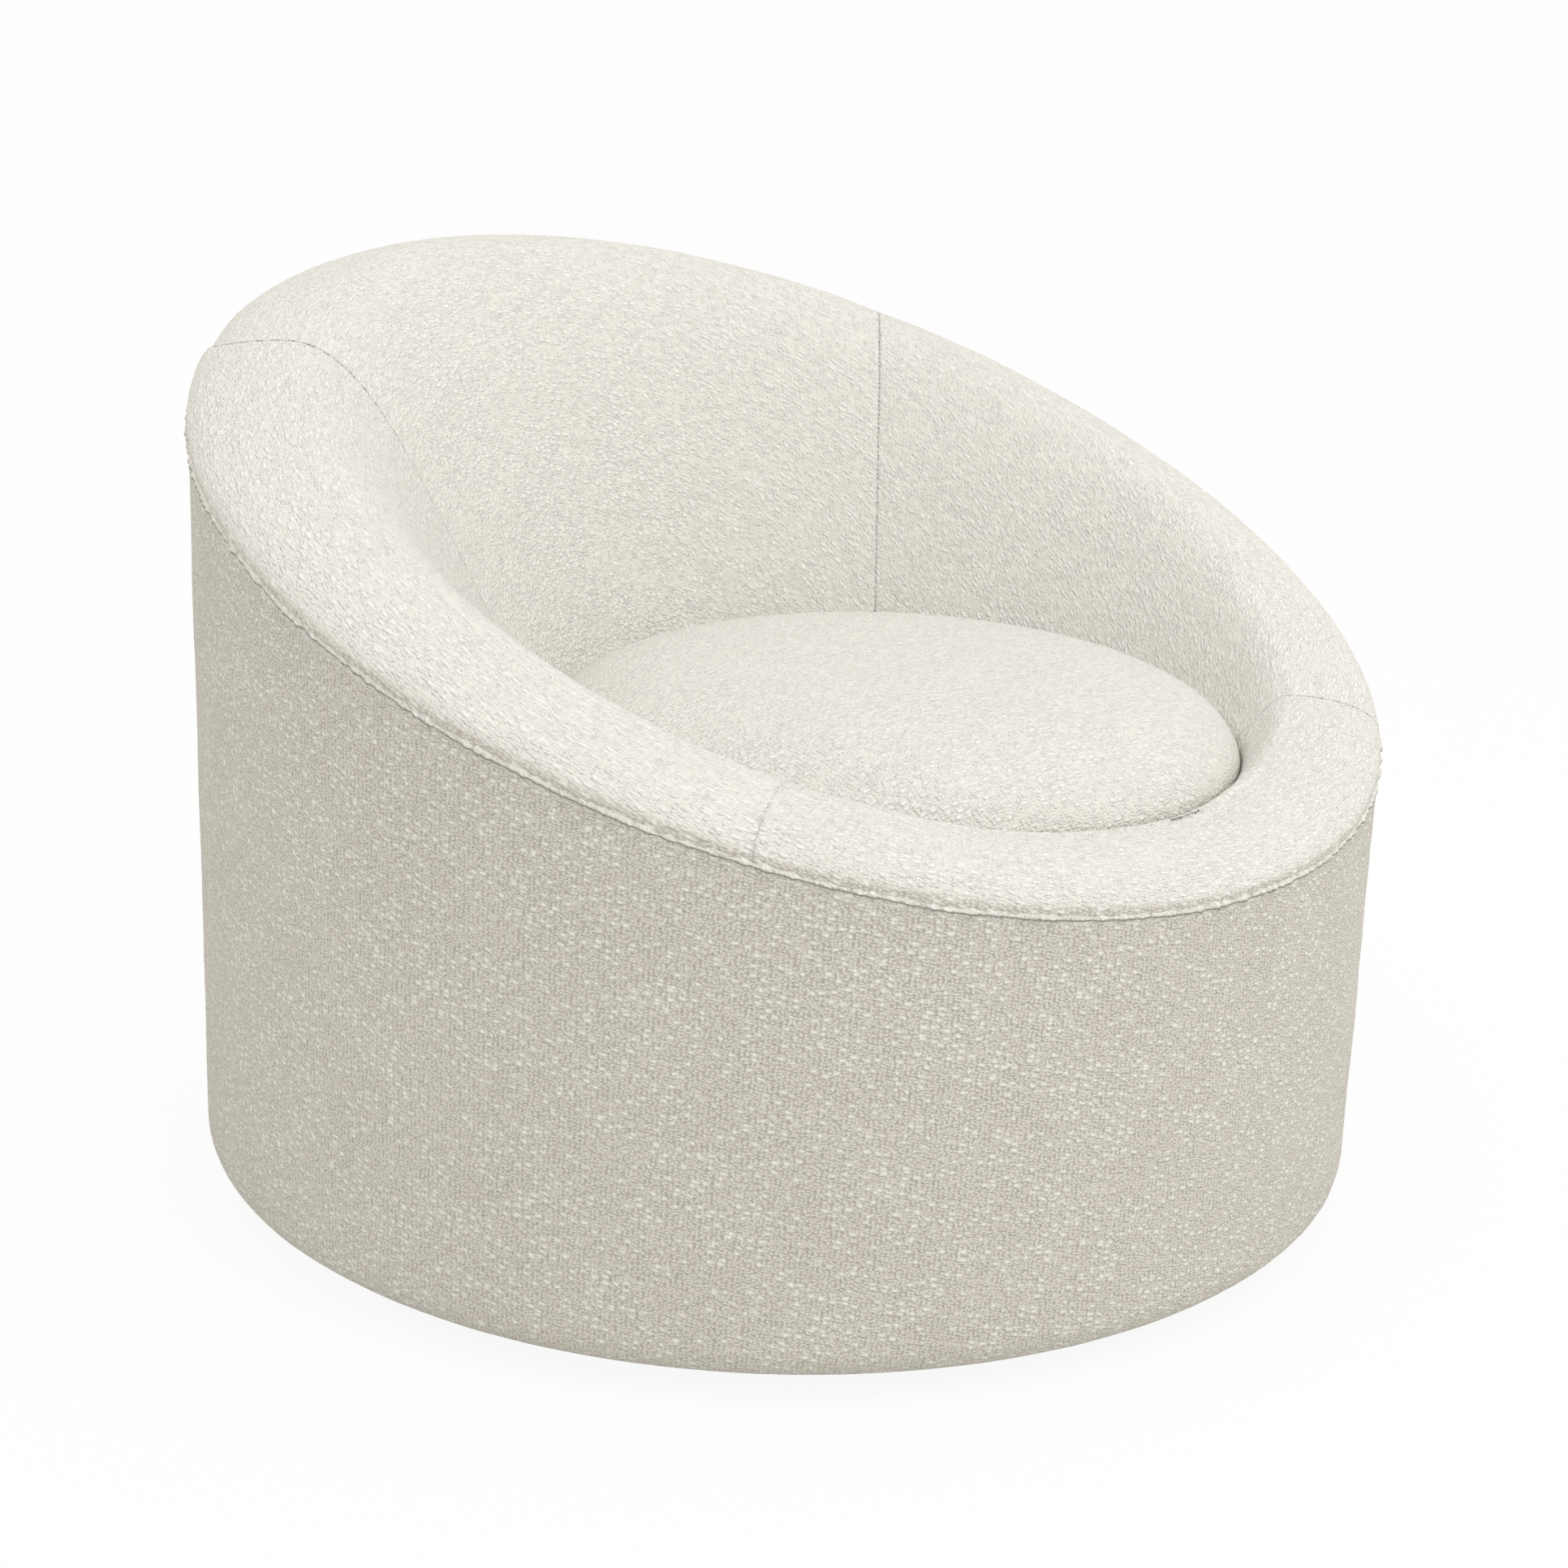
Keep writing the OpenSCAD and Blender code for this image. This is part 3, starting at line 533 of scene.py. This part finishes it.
def boucle(look):
    """Looped yarn in rows that run aslant like a twill: small loops with dark gaps between
    them, the gaps' darkness painted shade that is lighter where the cloth faces up, thicker
    bright slubs that lie along the rows in loose drifts, faint upright columns, and a row of
    small holes where stitches draw the cloth in at a seam, drawn in relief and in painted shade."""
    n = Finish("boucle_cloth")
    place = n.place()
    weave = n.add("ShaderNodeAttribute", attribute_name="weave").outputs["Vector"]
    wander = n.add("ShaderNodeVectorMath", operation="MULTIPLY_ADD")
    n.join(n.noise(place, size=0.014, output="Color"), wander.inputs[0])
    wander.inputs[1].default_value = (look.wander, look.wander, 0)
    n.join(weave, wander.inputs[2])
    turned = n.add("ShaderNodeVectorRotate", rotation_type="Z_AXIS")
    n.join(wander.outputs[0], turned.inputs["Vector"])
    turned.inputs["Angle"].default_value = look.twill
    rows = turned.outputs[0]

    smallest_loop, small_slub, drift_share = 0.6, 0.85, 0.9
    domes, each = n.cells(rows, look.warp_pitch, look.weft_pitch)
    domes.inputs["Randomness"].default_value = 0.65
    loop = n.maths("MULTIPLY", n.ramp(domes.outputs["Distance"], low=0.75, high=0.05),
                   n.maths("MULTIPLY_ADD", each, 1 - smallest_loop, smallest_loop))
    drift = n.maths("MULTIPLY", n.noise(place, size=0.045, detail=1.0), drift_share)

    def slubs(length, width, few, most):
        """Soft domes in some of the cells: none below the chance few, full from most on."""
        cells, pick = n.cells(rows, length * look.slub_size, width * look.slub_size)
        chance = n.ramp(n.maths("ADD", pick, drift), few, most)
        dome = n.ramp(cells.outputs["Distance"], low=0.62, high=0.05)
        return n.maths("MULTIPLY", dome, chance)

    slub = n.maths("MAXIMUM", slubs(length=1.3, width=0.80, few=0.85, most=1.25),
                   n.maths("MULTIPLY", slubs(length=0.70, width=0.48, few=0.60, most=1.15),
                           small_slub))
    slub = n.maths("MULTIPLY", slub, look.slub_rise)

    split = n.add("ShaderNodeSeparateXYZ")
    n.join(weave, split.inputs[0])
    across, along, off_seam = split.outputs
    column_rise, fibre_rise, hole_depth, hole_swing, hole_middle = 0.07, 0.24, 0.42, 0.75, 0.4
    column = n.maths("SINE", n.maths("MULTIPLY", across, math.tau / look.column))
    fibre = n.noise(place, size=0.0016, detail=3.0, rough=0.7)
    fine = n.maths("MULTIPLY_ADD", column, column_rise, n.maths("MULTIPLY", fibre, fibre_rise))
    stitch = n.maths("SINE", n.maths("MULTIPLY", along, math.tau / look.stitch))
    hole = n.maths("MULTIPLY", n.ramp(off_seam, low=MARK, high=0.0),
                   n.maths("MULTIPLY_ADD", stitch, hole_swing, hole_middle, clamp=True))
    fine = n.maths("MULTIPLY_ADD", hole, -hole_depth, fine)

    loop_rise, loop_tone, slub_tone, cloud_tone = 0.50, 0.72, 0.9, 0.12
    height = n.maths("ADD", n.maths("MAXIMUM", slub, n.maths("MULTIPLY", loop, loop_rise)), fine)
    n.bump(height, look.relief)
    # the tone follows the height: the loops' own colour at the tops, falling to painted shade in
    # the hollows and stitch holes below them
    tone = n.maths("ADD", n.maths("MAXIMUM", n.maths("MULTIPLY", slub, slub_tone),
                                  n.maths("MULTIPLY", loop, loop_tone)), fine)
    tone = n.maths("MULTIPLY_ADD", n.noise(place, size=0.06), cloud_tone, tone)
    # painted shade in the hollows: the ground colour is darker where the cloth faces sideways or
    # down and lighter, as painted light from overhead, where it faces up
    faces_up = n.add("ShaderNodeSeparateXYZ")
    n.join(n.add("ShaderNodeNewGeometry").outputs["Normal"], faces_up.inputs[0])
    hollow_painted_shade = n.blend(n.ramp(faces_up.outputs[2], low=0.0, high=0.4),
                     (*look.shaded_ground_colour, 1), (*look.lit_ground, 1))
    colour = n.blend(n.ramp(tone, low=0.05, high=1.10, kind="LINEAR"), hollow_painted_shade,
                     (*look.loop_colour, 1))
    n.join(colour, n.shader.inputs["Base Color"])
    n.gloss(Roughness=0.95, Specular_IOR_Level=0.15, Sheen_Weight=0.10, Sheen_Roughness=0.5)
    return n.material


def plain(name, colour, rough, grain, depth, shade, metal=0.0, stretch=(1, 1, 1)):
    """A finish with a fine grain: noise of that size, drawn out by stretch, darkens the
    colour to `shade` of itself and gives a relief of that depth."""
    n = Finish(name)
    mapping = n.add("ShaderNodeMapping")
    mapping.inputs["Scale"].default_value = stretch
    n.join(n.place(), mapping.inputs["Vector"])
    grainy = n.noise(mapping.outputs[0], grain, detail=4.0, rough=0.6)
    dark = [c * shade for c in colour]
    n.join(n.blend(n.ramp(grainy, low=0.3, high=0.7), (*dark, 1), (*colour, 1)),
           n.shader.inputs["Base Color"])
    spread = 0.2
    worn = n.maths("MULTIPLY_ADD", grainy, spread, rough - spread / 2, clamp=True)
    n.join(worn, n.shader.inputs["Roughness"])
    n.bump(grainy, depth)
    n.gloss(Metallic=metal)
    return n.material


def finishes():
    """One finish for each of the frame's materials."""
    return {
        "plywood": plain("birch_plywood", (0.62, 0.46, 0.28), rough=0.6, grain=0.02,
                         depth=0.0003, shade=0.75, stretch=(1, 8, 8)),
        "softwood": plain("pine_wood", (0.66, 0.49, 0.29), rough=0.65, grain=0.015,
                          depth=0.0003, shade=0.72, stretch=(8, 8, 1)),
        "hardboard": plain("brown_hardboard", (0.17, 0.09, 0.045), rough=0.5, grain=0.003,
                           depth=0.0001, shade=0.8),
        "black_stain": plain("stained_black", (0.02, 0.018, 0.016), rough=0.45, grain=0.03,
                             depth=0.0002, shade=0.6, stretch=(1, 10, 10)),
        "zinc": plain("zinc_plate", (0.60, 0.61, 0.62), rough=0.35, grain=0.004,
                      depth=0.00002, shade=0.85, metal=1.0),
        "lacquer": plain("black_lacquer", (0.015, 0.015, 0.016), rough=0.3, grain=0.002,
                         depth=0.00002, shade=0.8),
        "pressed_brass": plain("pressed_brass", (0.62, 0.42, 0.16), rough=0.35, grain=0.003,
                               depth=0.00002, shade=0.85, metal=1.0),
        "nylon": plain("black_nylon", (0.02, 0.02, 0.02), rough=0.4, grain=0.001,
                       depth=0.00002, shade=0.8),
        "foam": plain("yellow_foam", (0.85, 0.78, 0.50), rough=0.9, grain=0.0012,
                      depth=0.0004, shade=0.8),
        "wadding": plain("white_wadding", (0.86, 0.86, 0.84), rough=0.95, grain=0.006,
                         depth=0.0010, shade=0.85),
        "felt": plain("grey_felt", (0.16, 0.17, 0.18), rough=0.95, grain=0.002,
                      depth=0.0005, shade=0.6),
        "black_cloth": plain("dust_cloth", (0.012, 0.012, 0.013), rough=0.85, grain=0.0015,
                             depth=0.0002, shade=0.6),
    }


NODE_FINISH = {
    "plywood": ("bottom_ring", "base_board", "seat_board", "top_ring", "inner_shell"),
    "softwood": ("posts", "seat_cleats"),
    "hardboard": ("outer_skin",),
    "black_stain": ("plinth",),
    "zinc": ("lower_swivel_plate", "plinth_screws", "centre_pin", "bearing_balls",
             "upper_swivel_plate", "swivel_bolts", "tee_nuts", "post_screws",
             "cleat_screws", "spring_clips"),
    "lacquer": ("sinuous_springs",),
    "pressed_brass": ("ball_cage",),
    "nylon": ("glides",),
    "foam": ("rim_foam", "back_foam", "seat_core"),
    "wadding": ("side_wadding", "seat_topper"),
    "felt": ("deck_pad",),
    "black_cloth": ("dust_cover",),
}


def wear(piece, material):
    """Gives a piece one material in place of any that it had."""
    piece.data.materials.clear()
    piece.data.materials.append(material)


def fabric():
    """The boucle, made once."""
    return bpy.data.materials.get("boucle_cloth") or boucle(bpy.context.scene.armchair_fabric)


class Sizes:
    """The three groups of sizes, read from the scene together."""

    def __init__(self):
        scene = bpy.context.scene
        self.drum = scene.armchair_drum
        self.rim = scene.armchair_rim
        self.seat = scene.armchair_seat


# ---- pieces ----
class ARMCHAIR_OT_side_cover(bpy.types.Operator):
    """Wraps the drum in boucle. The section is a straight line down from the rim seam, a
    quarter of a circle round the lower edge and a straight line inwards, carried round the
    drum's axis. Beside the closing seam at the back it is drawn in by exp(-x/w) and by
    exp(-(x/w)^2), x being the distance to the seam."""
    bl_idname = "armchair.side_cover"
    bl_label = "Side cover"

    def execute(self, context):
        s = Sizes()
        drum = s.drum
        around, face, bend, under = 704, 84, 16, 12
        phi = np.linspace(math.pi / 2, math.pi / 2 + math.tau, around + 1)
        t = np.linspace(0, 1, face + 1)[:, None]
        low = drum.bottom + drum.edge
        high = seam_level(s, drum.radius * np.sin(phi)) - SEAM_LAP
        z_face = high * (1 - t) + low * t
        r_face = np.full_like(z_face, drum.radius)
        turn = np.linspace(0, math.pi / 2, bend + 1)[1:, None]
        z_bend = np.broadcast_to(low - drum.edge * np.sin(turn), (bend, len(phi)))
        r_bend = np.broadcast_to(drum.radius - drum.edge * (1 - np.cos(turn)), z_bend.shape)
        inwards = drum.turn_in * np.linspace(0, 1, under + 1)[1:, None]
        r_under = np.broadcast_to(drum.radius - drum.edge - inwards, (under, len(phi)))
        z_under = np.full_like(r_under, drum.bottom)
        r = np.concatenate([r_face, r_bend, r_under]).T
        z = np.concatenate([z_face, z_bend, z_under]).T

        # place down the flat cloth, which goes on past the lower edge by the section's length
        cut_bend = np.broadcast_to(low - drum.edge * turn, z_bend.shape)
        cut_under = np.broadcast_to(low - drum.edge * math.pi / 2 - inwards, z_under.shape)
        cut = np.concatenate([z_face, cut_bend, cut_under]).T

        gap = drum.radius * np.minimum(phi - phi[0], phi[-1] - phi)[:, None]
        groove, groove_width, dip, dip_width = 0.0005, 0.0025, 0.0008, 0.02
        r = r - groove * np.exp(-gap / groove_width) - dip * bell(gap, dip_width)
        a = phi[:, None]
        grid = np.stack([r * np.cos(a), r * np.sin(a), z], -1)
        # the unevenness fades towards the turned-in hem and the rim seam
        hem, least, lap = 0.01, 0.15, 0.003
        calm = np.minimum(np.clip((z - drum.bottom) / hem, least, 1),
                          1 - np.exp(-(high[:, None] - z) / lap))
        grid = roughened(grid, seed=11, edge=calm)
        faint = 0.2 * MARK
        weave = np.stack(np.broadcast_arrays(a * drum.radius, cut, gap + faint), -1)
        piece = cloth_piece("side_cloth", grid[::-1], weave[::-1])
        wear(piece, fabric())
        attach(piece, "tub")
        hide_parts("side_cover")
        return {"FINISHED"}


class ARMCHAIR_OT_linings(bpy.types.Operator):
    """Lines the rim and the inside of the tub with four panels. Each is the tub's section
    swung about the seat's centre from one seam to the next, and a seam may lean, most at
    the rim's outer edge. Along the normals a panel is moved by the sum of a puff that grows
    away from its seams, its share of the step at each seam, small puckers along the
    seams, and the swell where the seat presses against it just above the crease."""
    bl_idname = "armchair.linings"
    bl_label = "Linings"

    def execute(self, context):
        s = Sizes()
        rim = s.rim
        rim_steps, wall_steps, tuck_steps = 36, 100, 12
        steps_per_radian, pairs_per_radian, spare = 38, 150, 0.1
        # moves of the cloth, and the widths over which they grow or die away, in metres
        puff_from_seam, puff_from_edge, seated_from = 0.030, 0.012, 0.02
        step_up, step_down = 0.4, 0.6
        step_from_seam, step_across, step_from_edge, step_inwards = 0.006, 0.05, 0.006, 0.12
        pucker_rise, pucker_across, pucker_pitch, pucker_patch = 0.00025, 0.014, 0.013, 0.03
        press_rise, press_at, press_width, press_from = 0.0028, 0.008, 0.009, 0.004
        calm_seam, calm_edge, faintest_mark = 0.004, 0.003, 0.2
        seams = list(rim.seams) + [rim.seams[0] + math.tau]
        for k, side in enumerate(("back", "left", "front", "right")):
            last = (k + 1) % 4
            turn = seams[k + 1] - seams[k]
            wide = np.linspace(seams[k] - spare, seams[k + 1] + spare,
                               2 * round(pairs_per_radian * turn))
            sections = tub_section(s, wide, rim_steps, wall_steps, tuck_steps)
            # the lean dies away over the first tenth of the section's points
            lean = bell(np.linspace(0, 1.6, sections.shape[1]), 0.16)
            first_edge = seams[k] + rim.seam_lean[k] * lean
            last_edge = seams[k + 1] + rim.seam_lean[last] * lean
            share = np.linspace(0, 1, COARSE * round(steps_per_radian * turn) + 1)[:, None]
            angle = first_edge + (last_edge - first_edge) * share
            section = np.stack([np.stack([np.interp(angle[:, j], wide, sections[:, j, c])
                                          for j in range(angle.shape[1])], 1)
                                for c in range(2)], -1)
            grid = swung(s, angle, section)
            away = section[..., 0]
            above = section[..., 1] - s.seat.crease
            gap = away * np.minimum(angle - first_edge, last_edge - angle)
            rows = np.linalg.norm(np.diff(section, axis=1, prepend=section[:, :1]), axis=-1)
            run = np.cumsum(rows, axis=1)

            near_first = share < 0.5
            shown_to = np.where(near_first, rim.seam_reach[k], rim.seam_reach[last])
            marks = np.where(near_first, rim.seam_marks[k], rim.seam_marks[last])
            marks = marks * (faintest_mark + (1 - faintest_mark) * np.exp(-(run / shown_to) ** 4))

            seated = np.clip(above / seated_from, 0, 1)
            puff = rim.puff * (1 - bell(gap, puff_from_seam)) * seated
            puff = puff * (1 - bell(run, puff_from_edge))
            step = np.where(near_first, step_up * rim.seam_step[k],
                            -step_down * rim.seam_step[last])
            step = step * bell(gap, step_across) * (1 - bell(gap, step_from_seam))
            step = step * bell(run, step_inwards) * (1 - np.exp(-run / step_from_edge))
            pucker = pucker_rise * marks * np.exp(-gap / pucker_across)
            pucker = pucker * np.sin(run * math.tau / pucker_pitch + 2 * k)
            pucker = pucker * (1 + swells(grid, pucker_patch, seed=40 + k)) * seated
            press = press_rise * bell(above - press_at, press_width)
            press = press * np.clip(above / press_from, 0, 1)
            press[:, :rim_steps] = 0
            lift = puff + step - pucker + press
            grid = grid + outward(grid) * lift[..., None]
            calm = np.minimum(np.clip(gap / calm_seam, 0, 1), 1 - np.exp(-run / calm_edge))
            grid = roughened(grid, seed=20 + k, edge=calm)

            across = (angle.mean() - angle) * away.mean(axis=1, keepdims=True)
            weave = np.stack([across, -run, gap + (1 - marks) * MARK], -1)
            piece = cloth_piece("lining_cloth_" + side, grid, weave)
            wear(piece, fabric())
            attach(piece, "tub")
            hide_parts("lining_" + side)
        return {"FINISHED"}


class ARMCHAIR_OT_rim_seam(bpy.types.Operator):
    """Runs the sewn ridge round the drum where the linings meet the side cover. Its section
    is a ring drawn out to a soft edge: cos(turn)^1.6 outwards, cos(turn) into the drum and
    sin(turn) up and down, thickened by knots of yarn and carried round on the seam's
    slanting plane."""
    bl_idname = "armchair.rim_seam"
    bl_label = "Rim seam"

    def execute(self, context):
        s = Sizes()
        around, bend = 1600, 20
        phi = np.linspace(0, math.tau, around, endpoint=False)[:, None]
        turn = np.linspace(0, math.tau, bend, endpoint=False)[None, :]
        at = np.stack([np.cos(phi) * s.drum.radius, np.sin(phi) * s.drum.radius, phi * 0], -1)
        at = np.broadcast_to(at, (around, bend, 3))
        knot_size, swell_size, stray_size = 0.0060, 0.013, 0.035
        knots = 0.0034 * (nubs(at, knot_size, seed=61) - NUB_LEVEL)
        knots = knots + 0.0005 * swells(at, swell_size, seed=62)
        wander = 0.0007 * swells(at, stray_size, seed=63)
        sunk, slimmer, taller, depth, sharpness = 0.0010, 0.0004, 0.0014, 0.002, 1.6
        out = s.rim.ridge_out - slimmer + knots
        tall = s.rim.ridge_height / 2 + taller + knots
        flank = np.cos(turn)
        shape = np.where(flank > 0, out * np.maximum(flank, 0) ** sharpness, depth * flank)
        r = s.drum.radius - sunk + shape
        z = seam_level(s, s.drum.radius * np.sin(phi)) + tall * np.sin(turn) + wander
        grid = np.stack([r * np.cos(phi), r * np.sin(phi), z + 0 * r], -1)
        weave = np.stack(np.broadcast_arrays(s.drum.radius * phi, turn * 0.003), -1)
        piece = ring_piece("rim_seam_cloth", grid, weave)
        wear(piece, fabric())
        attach(piece, "tub")
        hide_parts("rim_welt")
        return {"FINISHED"}


class ARMCHAIR_OT_seat(bpy.types.Operator):
    """Makes the tight round seat. Its profile is a crown, sqrt(1 - (r/R)^4) times its
    height, and an upright tuck below the crease. A square grid is drawn to a disc by
    x = u sqrt(1 - v^2/2) and y = v sqrt(1 - u^2/2), and a point's distance from the disc's
    middle, over the disc's radius, is its place along the profile, over its length."""
    bl_idname = "armchair.seat"
    bl_label = "Seat"

    def execute(self, context):
        s = Sizes()
        half, crown_steps, tuck_steps = 88, 400, 60
        edge = s.seat.radius - FIT
        line = np.linspace(-1, 1, 2 * half + 1)
        u, v = np.meshgrid(line, line, indexing="ij")
        x = u * np.sqrt(1 - v * v / 2)
        y = v * np.sqrt(1 - u * u / 2)
        away = np.hypot(x, y)
        turn = np.arctan2(y, x)
        crown = edge * np.sin(np.linspace(0, math.pi / 2, crown_steps))
        r = np.concatenate([crown, np.full(tuck_steps, edge)])
        z = s.seat.crease + s.seat.crown * np.sqrt(np.clip(1 - (crown / edge) ** 4, 0, 1))
        tuck = np.linspace(0, s.seat.tuck, tuck_steps + 1)[1:]
        z = np.concatenate([z, s.seat.crease - tuck])
        run = np.concatenate([[0], np.cumsum(np.hypot(np.diff(r), np.diff(z)))])
        place = away * run[-1]
        rr = np.interp(place, run, r)
        zz = np.interp(place, run, z)
        grid = np.stack([rr * np.cos(turn), s.seat.centre + rr * np.sin(turn), zz], -1)
        calm_up_to, least = 0.015, 0.1
        calm = np.clip((zz - s.seat.crease) / calm_up_to, least, 1)
        grid = roughened(grid, seed=31, edge=calm)
        weave = np.stack([x, y], -1) * run[-1]
        piece = cloth_piece("seat_cloth", grid, weave)
        wear(piece, fabric())
        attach(piece, "tub")
        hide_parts("seat_cover")
        return {"FINISHED"}


class ARMCHAIR_OT_frame_finishes(bpy.types.Operator):
    """Gives every wooden, metal and padded piece of the frame its finish."""
    bl_idname = "armchair.frame_finishes"
    bl_label = "Frame finishes"

    def execute(self, context):
        made = finishes()
        for finish, nodes in NODE_FINISH.items():
            for node in nodes:
                wear(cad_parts[node], made[finish])
        return {"FINISHED"}


# ---- stage ----
def floor_material(colour, glow):
    """Pale floor: plain to the light, and brightened towards white where the camera, a
    mirror or glass sees it, so that it keeps the shadow. It is clear from below."""
    material = bpy.data.materials.new("pale_floor")
    material.use_nodes = True
    t = Tree(material.node_tree)
    output = t.add("ShaderNodeOutputMaterial")
    seen = t.seen()
    pale = t.add("ShaderNodeBsdfDiffuse")
    pale.inputs["Color"].default_value = (*colour, 1)
    white = t.add("ShaderNodeEmission")
    above = t.either(t.maths("MULTIPLY", seen, glow), pale.outputs[0], white.outputs[0])
    underneath = t.maths("MULTIPLY", seen, t.add("ShaderNodeNewGeometry").outputs["Backfacing"])
    clear = t.add("ShaderNodeBsdfTransparent")
    t.join(t.either(underneath, above, clear.outputs[0]), output.inputs["Surface"])
    return material


def studio_world(strength, tint):
    """Even tinted light from all round, which the camera, a mirror or glass sees as white."""
    world = bpy.data.worlds.new("studio")
    world.use_nodes = True
    t = Tree(world.node_tree)
    output = t.add("ShaderNodeOutputWorld")
    sky = t.add("ShaderNodeBackground")
    seen = t.seen()
    colour = t.add("ShaderNodeMix", data_type="RGBA")
    for value, name in ((seen, "Factor"), ((*tint, 1), "A"), ((1.0, 1.0, 1.0, 1), "B")):
        t.join(value, colour.inputs[name])
    level = t.add("ShaderNodeMapRange")
    for value, name in ((seen, "Value"), (strength, "To Min"), (1.0, "To Max")):
        t.join(value, level.inputs[name])
    t.join(colour.outputs["Result"], sky.inputs["Color"])
    t.join(level.outputs["Result"], sky.inputs["Strength"])
    t.join(sky.outputs[0], output.inputs["Surface"])
    return world


def lamp(name, power, size, place, aim, colour):
    """A broad square lamp of one colour at a place, turned towards a point."""
    data = bpy.data.lights.new(name, "AREA")
    data.energy = power
    data.size = size
    data.color = colour
    piece = bpy.data.objects.new(name, data)
    bpy.context.scene.collection.objects.link(piece)
    piece.location = place
    back = Vector(np.array(place) - np.array(aim))
    piece.rotation_euler = back.to_track_quat("Z", "Y").to_euler()


class ARMCHAIR_OT_stage(bpy.types.Operator):
    """Sets the pale floor, the lights and the camera."""
    bl_idname = "armchair.stage"
    bl_label = "Stage"

    def execute(self, context):
        scene = context.scene
        look = scene.armchair_studio
        scene.view_settings.view_transform = "Standard"

        wide = 60.0
        corners = [(-wide, -wide, 0), (wide, -wide, 0), (wide, wide, 0), (-wide, wide, 0)]
        mesh = bpy.data.meshes.new("floor")
        mesh.from_pydata(corners, [], [(0, 1, 2, 3)])
        floor = bpy.data.objects.new("floor", mesh)
        scene.collection.objects.link(floor)
        wear(floor, floor_material((0.88, 0.88, 0.87), glow=0.92))

        scene.world = studio_world(look.sky, tint=(1.0, 0.985, 0.945))
        lamp("top_lamp", look.top_light, size=2.6, place=(-0.45, -0.45, 3.0),
             aim=(0, 0, 0.3), colour=(0.96, 0.985, 1.0))
        lamp("front_lamp", look.front_light, size=1.6, place=(0.7, -2.4, 2.5),
             aim=(0, 0.1, 0.45), colour=(1.0, 1.0, 1.0))
        self.camera(scene, look)
        return {"FINISHED"}

    def camera(self, scene, look):
        """Looks along the direction given by azimuth and elevation at a point that lies
        aim_right and aim_up in the view from the drum's lower edge at the axis."""
        a, e = look.azimuth, look.elevation
        back = np.array([math.sin(a) * math.cos(e), -math.cos(a) * math.cos(e), math.sin(e)])
        right = np.array([math.cos(a), math.sin(a), 0.0])
        up = np.cross(back, right)
        aim = np.array([0, 0, scene.armchair_drum.bottom])
        place = aim + look.aim_right * right + look.aim_up * up + look.distance * back
        x_axis = right * math.cos(look.roll) + up * math.sin(look.roll)
        y_axis = up * math.cos(look.roll) - right * math.sin(look.roll)
        turn = Matrix(np.stack([x_axis, y_axis, back], 1).tolist()).to_4x4()
        data = bpy.data.cameras.new("camera")
        data.lens = look.lens
        data.sensor_width = 36.0
        camera = bpy.data.objects.new("camera", data)
        scene.collection.objects.link(camera)
        camera.matrix_world = Matrix.Translation(place.tolist()) @ turn
        scene.camera = camera


class ARMCHAIR_PT_panel(bpy.types.Panel):
    """Lists the chair's pieces and the stage."""
    bl_idname = "ARMCHAIR_PT_panel"
    bl_label = "Armchair"
    bl_space_type = "VIEW_3D"
    bl_region_type = "UI"
    bl_category = "Armchair"

    def draw(self, context):
        scene = context.scene
        groups = (scene.armchair_drum, scene.armchair_rim, scene.armchair_seat,
                  scene.armchair_fabric, scene.armchair_studio)
        for group in groups:
            box = self.layout.box()
            for name in group.bl_rna.properties.keys():
                if name not in ("rna_type", "name"):
                    box.prop(group, name)
        for operator in OPERATORS:
            self.layout.operator(operator.bl_idname)


GROUPS = {
    "armchair_drum": DrumSizes,
    "armchair_rim": RimSizes,
    "armchair_seat": SeatSizes,
    "armchair_fabric": FabricLook,
    "armchair_studio": StudioLook,
}
OPERATORS = (
    ARMCHAIR_OT_frame_finishes,
    ARMCHAIR_OT_side_cover,
    ARMCHAIR_OT_linings,
    ARMCHAIR_OT_rim_seam,
    ARMCHAIR_OT_seat,
    ARMCHAIR_OT_stage,
)


def register():
    for name, group in GROUPS.items():
        bpy.utils.register_class(group)
        setattr(bpy.types.Scene, name, bpy.props.PointerProperty(type=group))
    for operator in OPERATORS:
        bpy.utils.register_class(operator)
    bpy.utils.register_class(ARMCHAIR_PT_panel)


def unregister():
    bpy.utils.unregister_class(ARMCHAIR_PT_panel)
    for operator in reversed(OPERATORS):
        bpy.utils.unregister_class(operator)
    for name, group in GROUPS.items():
        delattr(bpy.types.Scene, name)
        bpy.utils.unregister_class(group)


def main():
    register()
    bpy.ops.armchair.frame_finishes()
    bpy.ops.armchair.side_cover()
    bpy.ops.armchair.linings()
    bpy.ops.armchair.rim_seam()
    bpy.ops.armchair.seat()
    bpy.ops.armchair.stage()


if __name__ == "__main__":
    main()
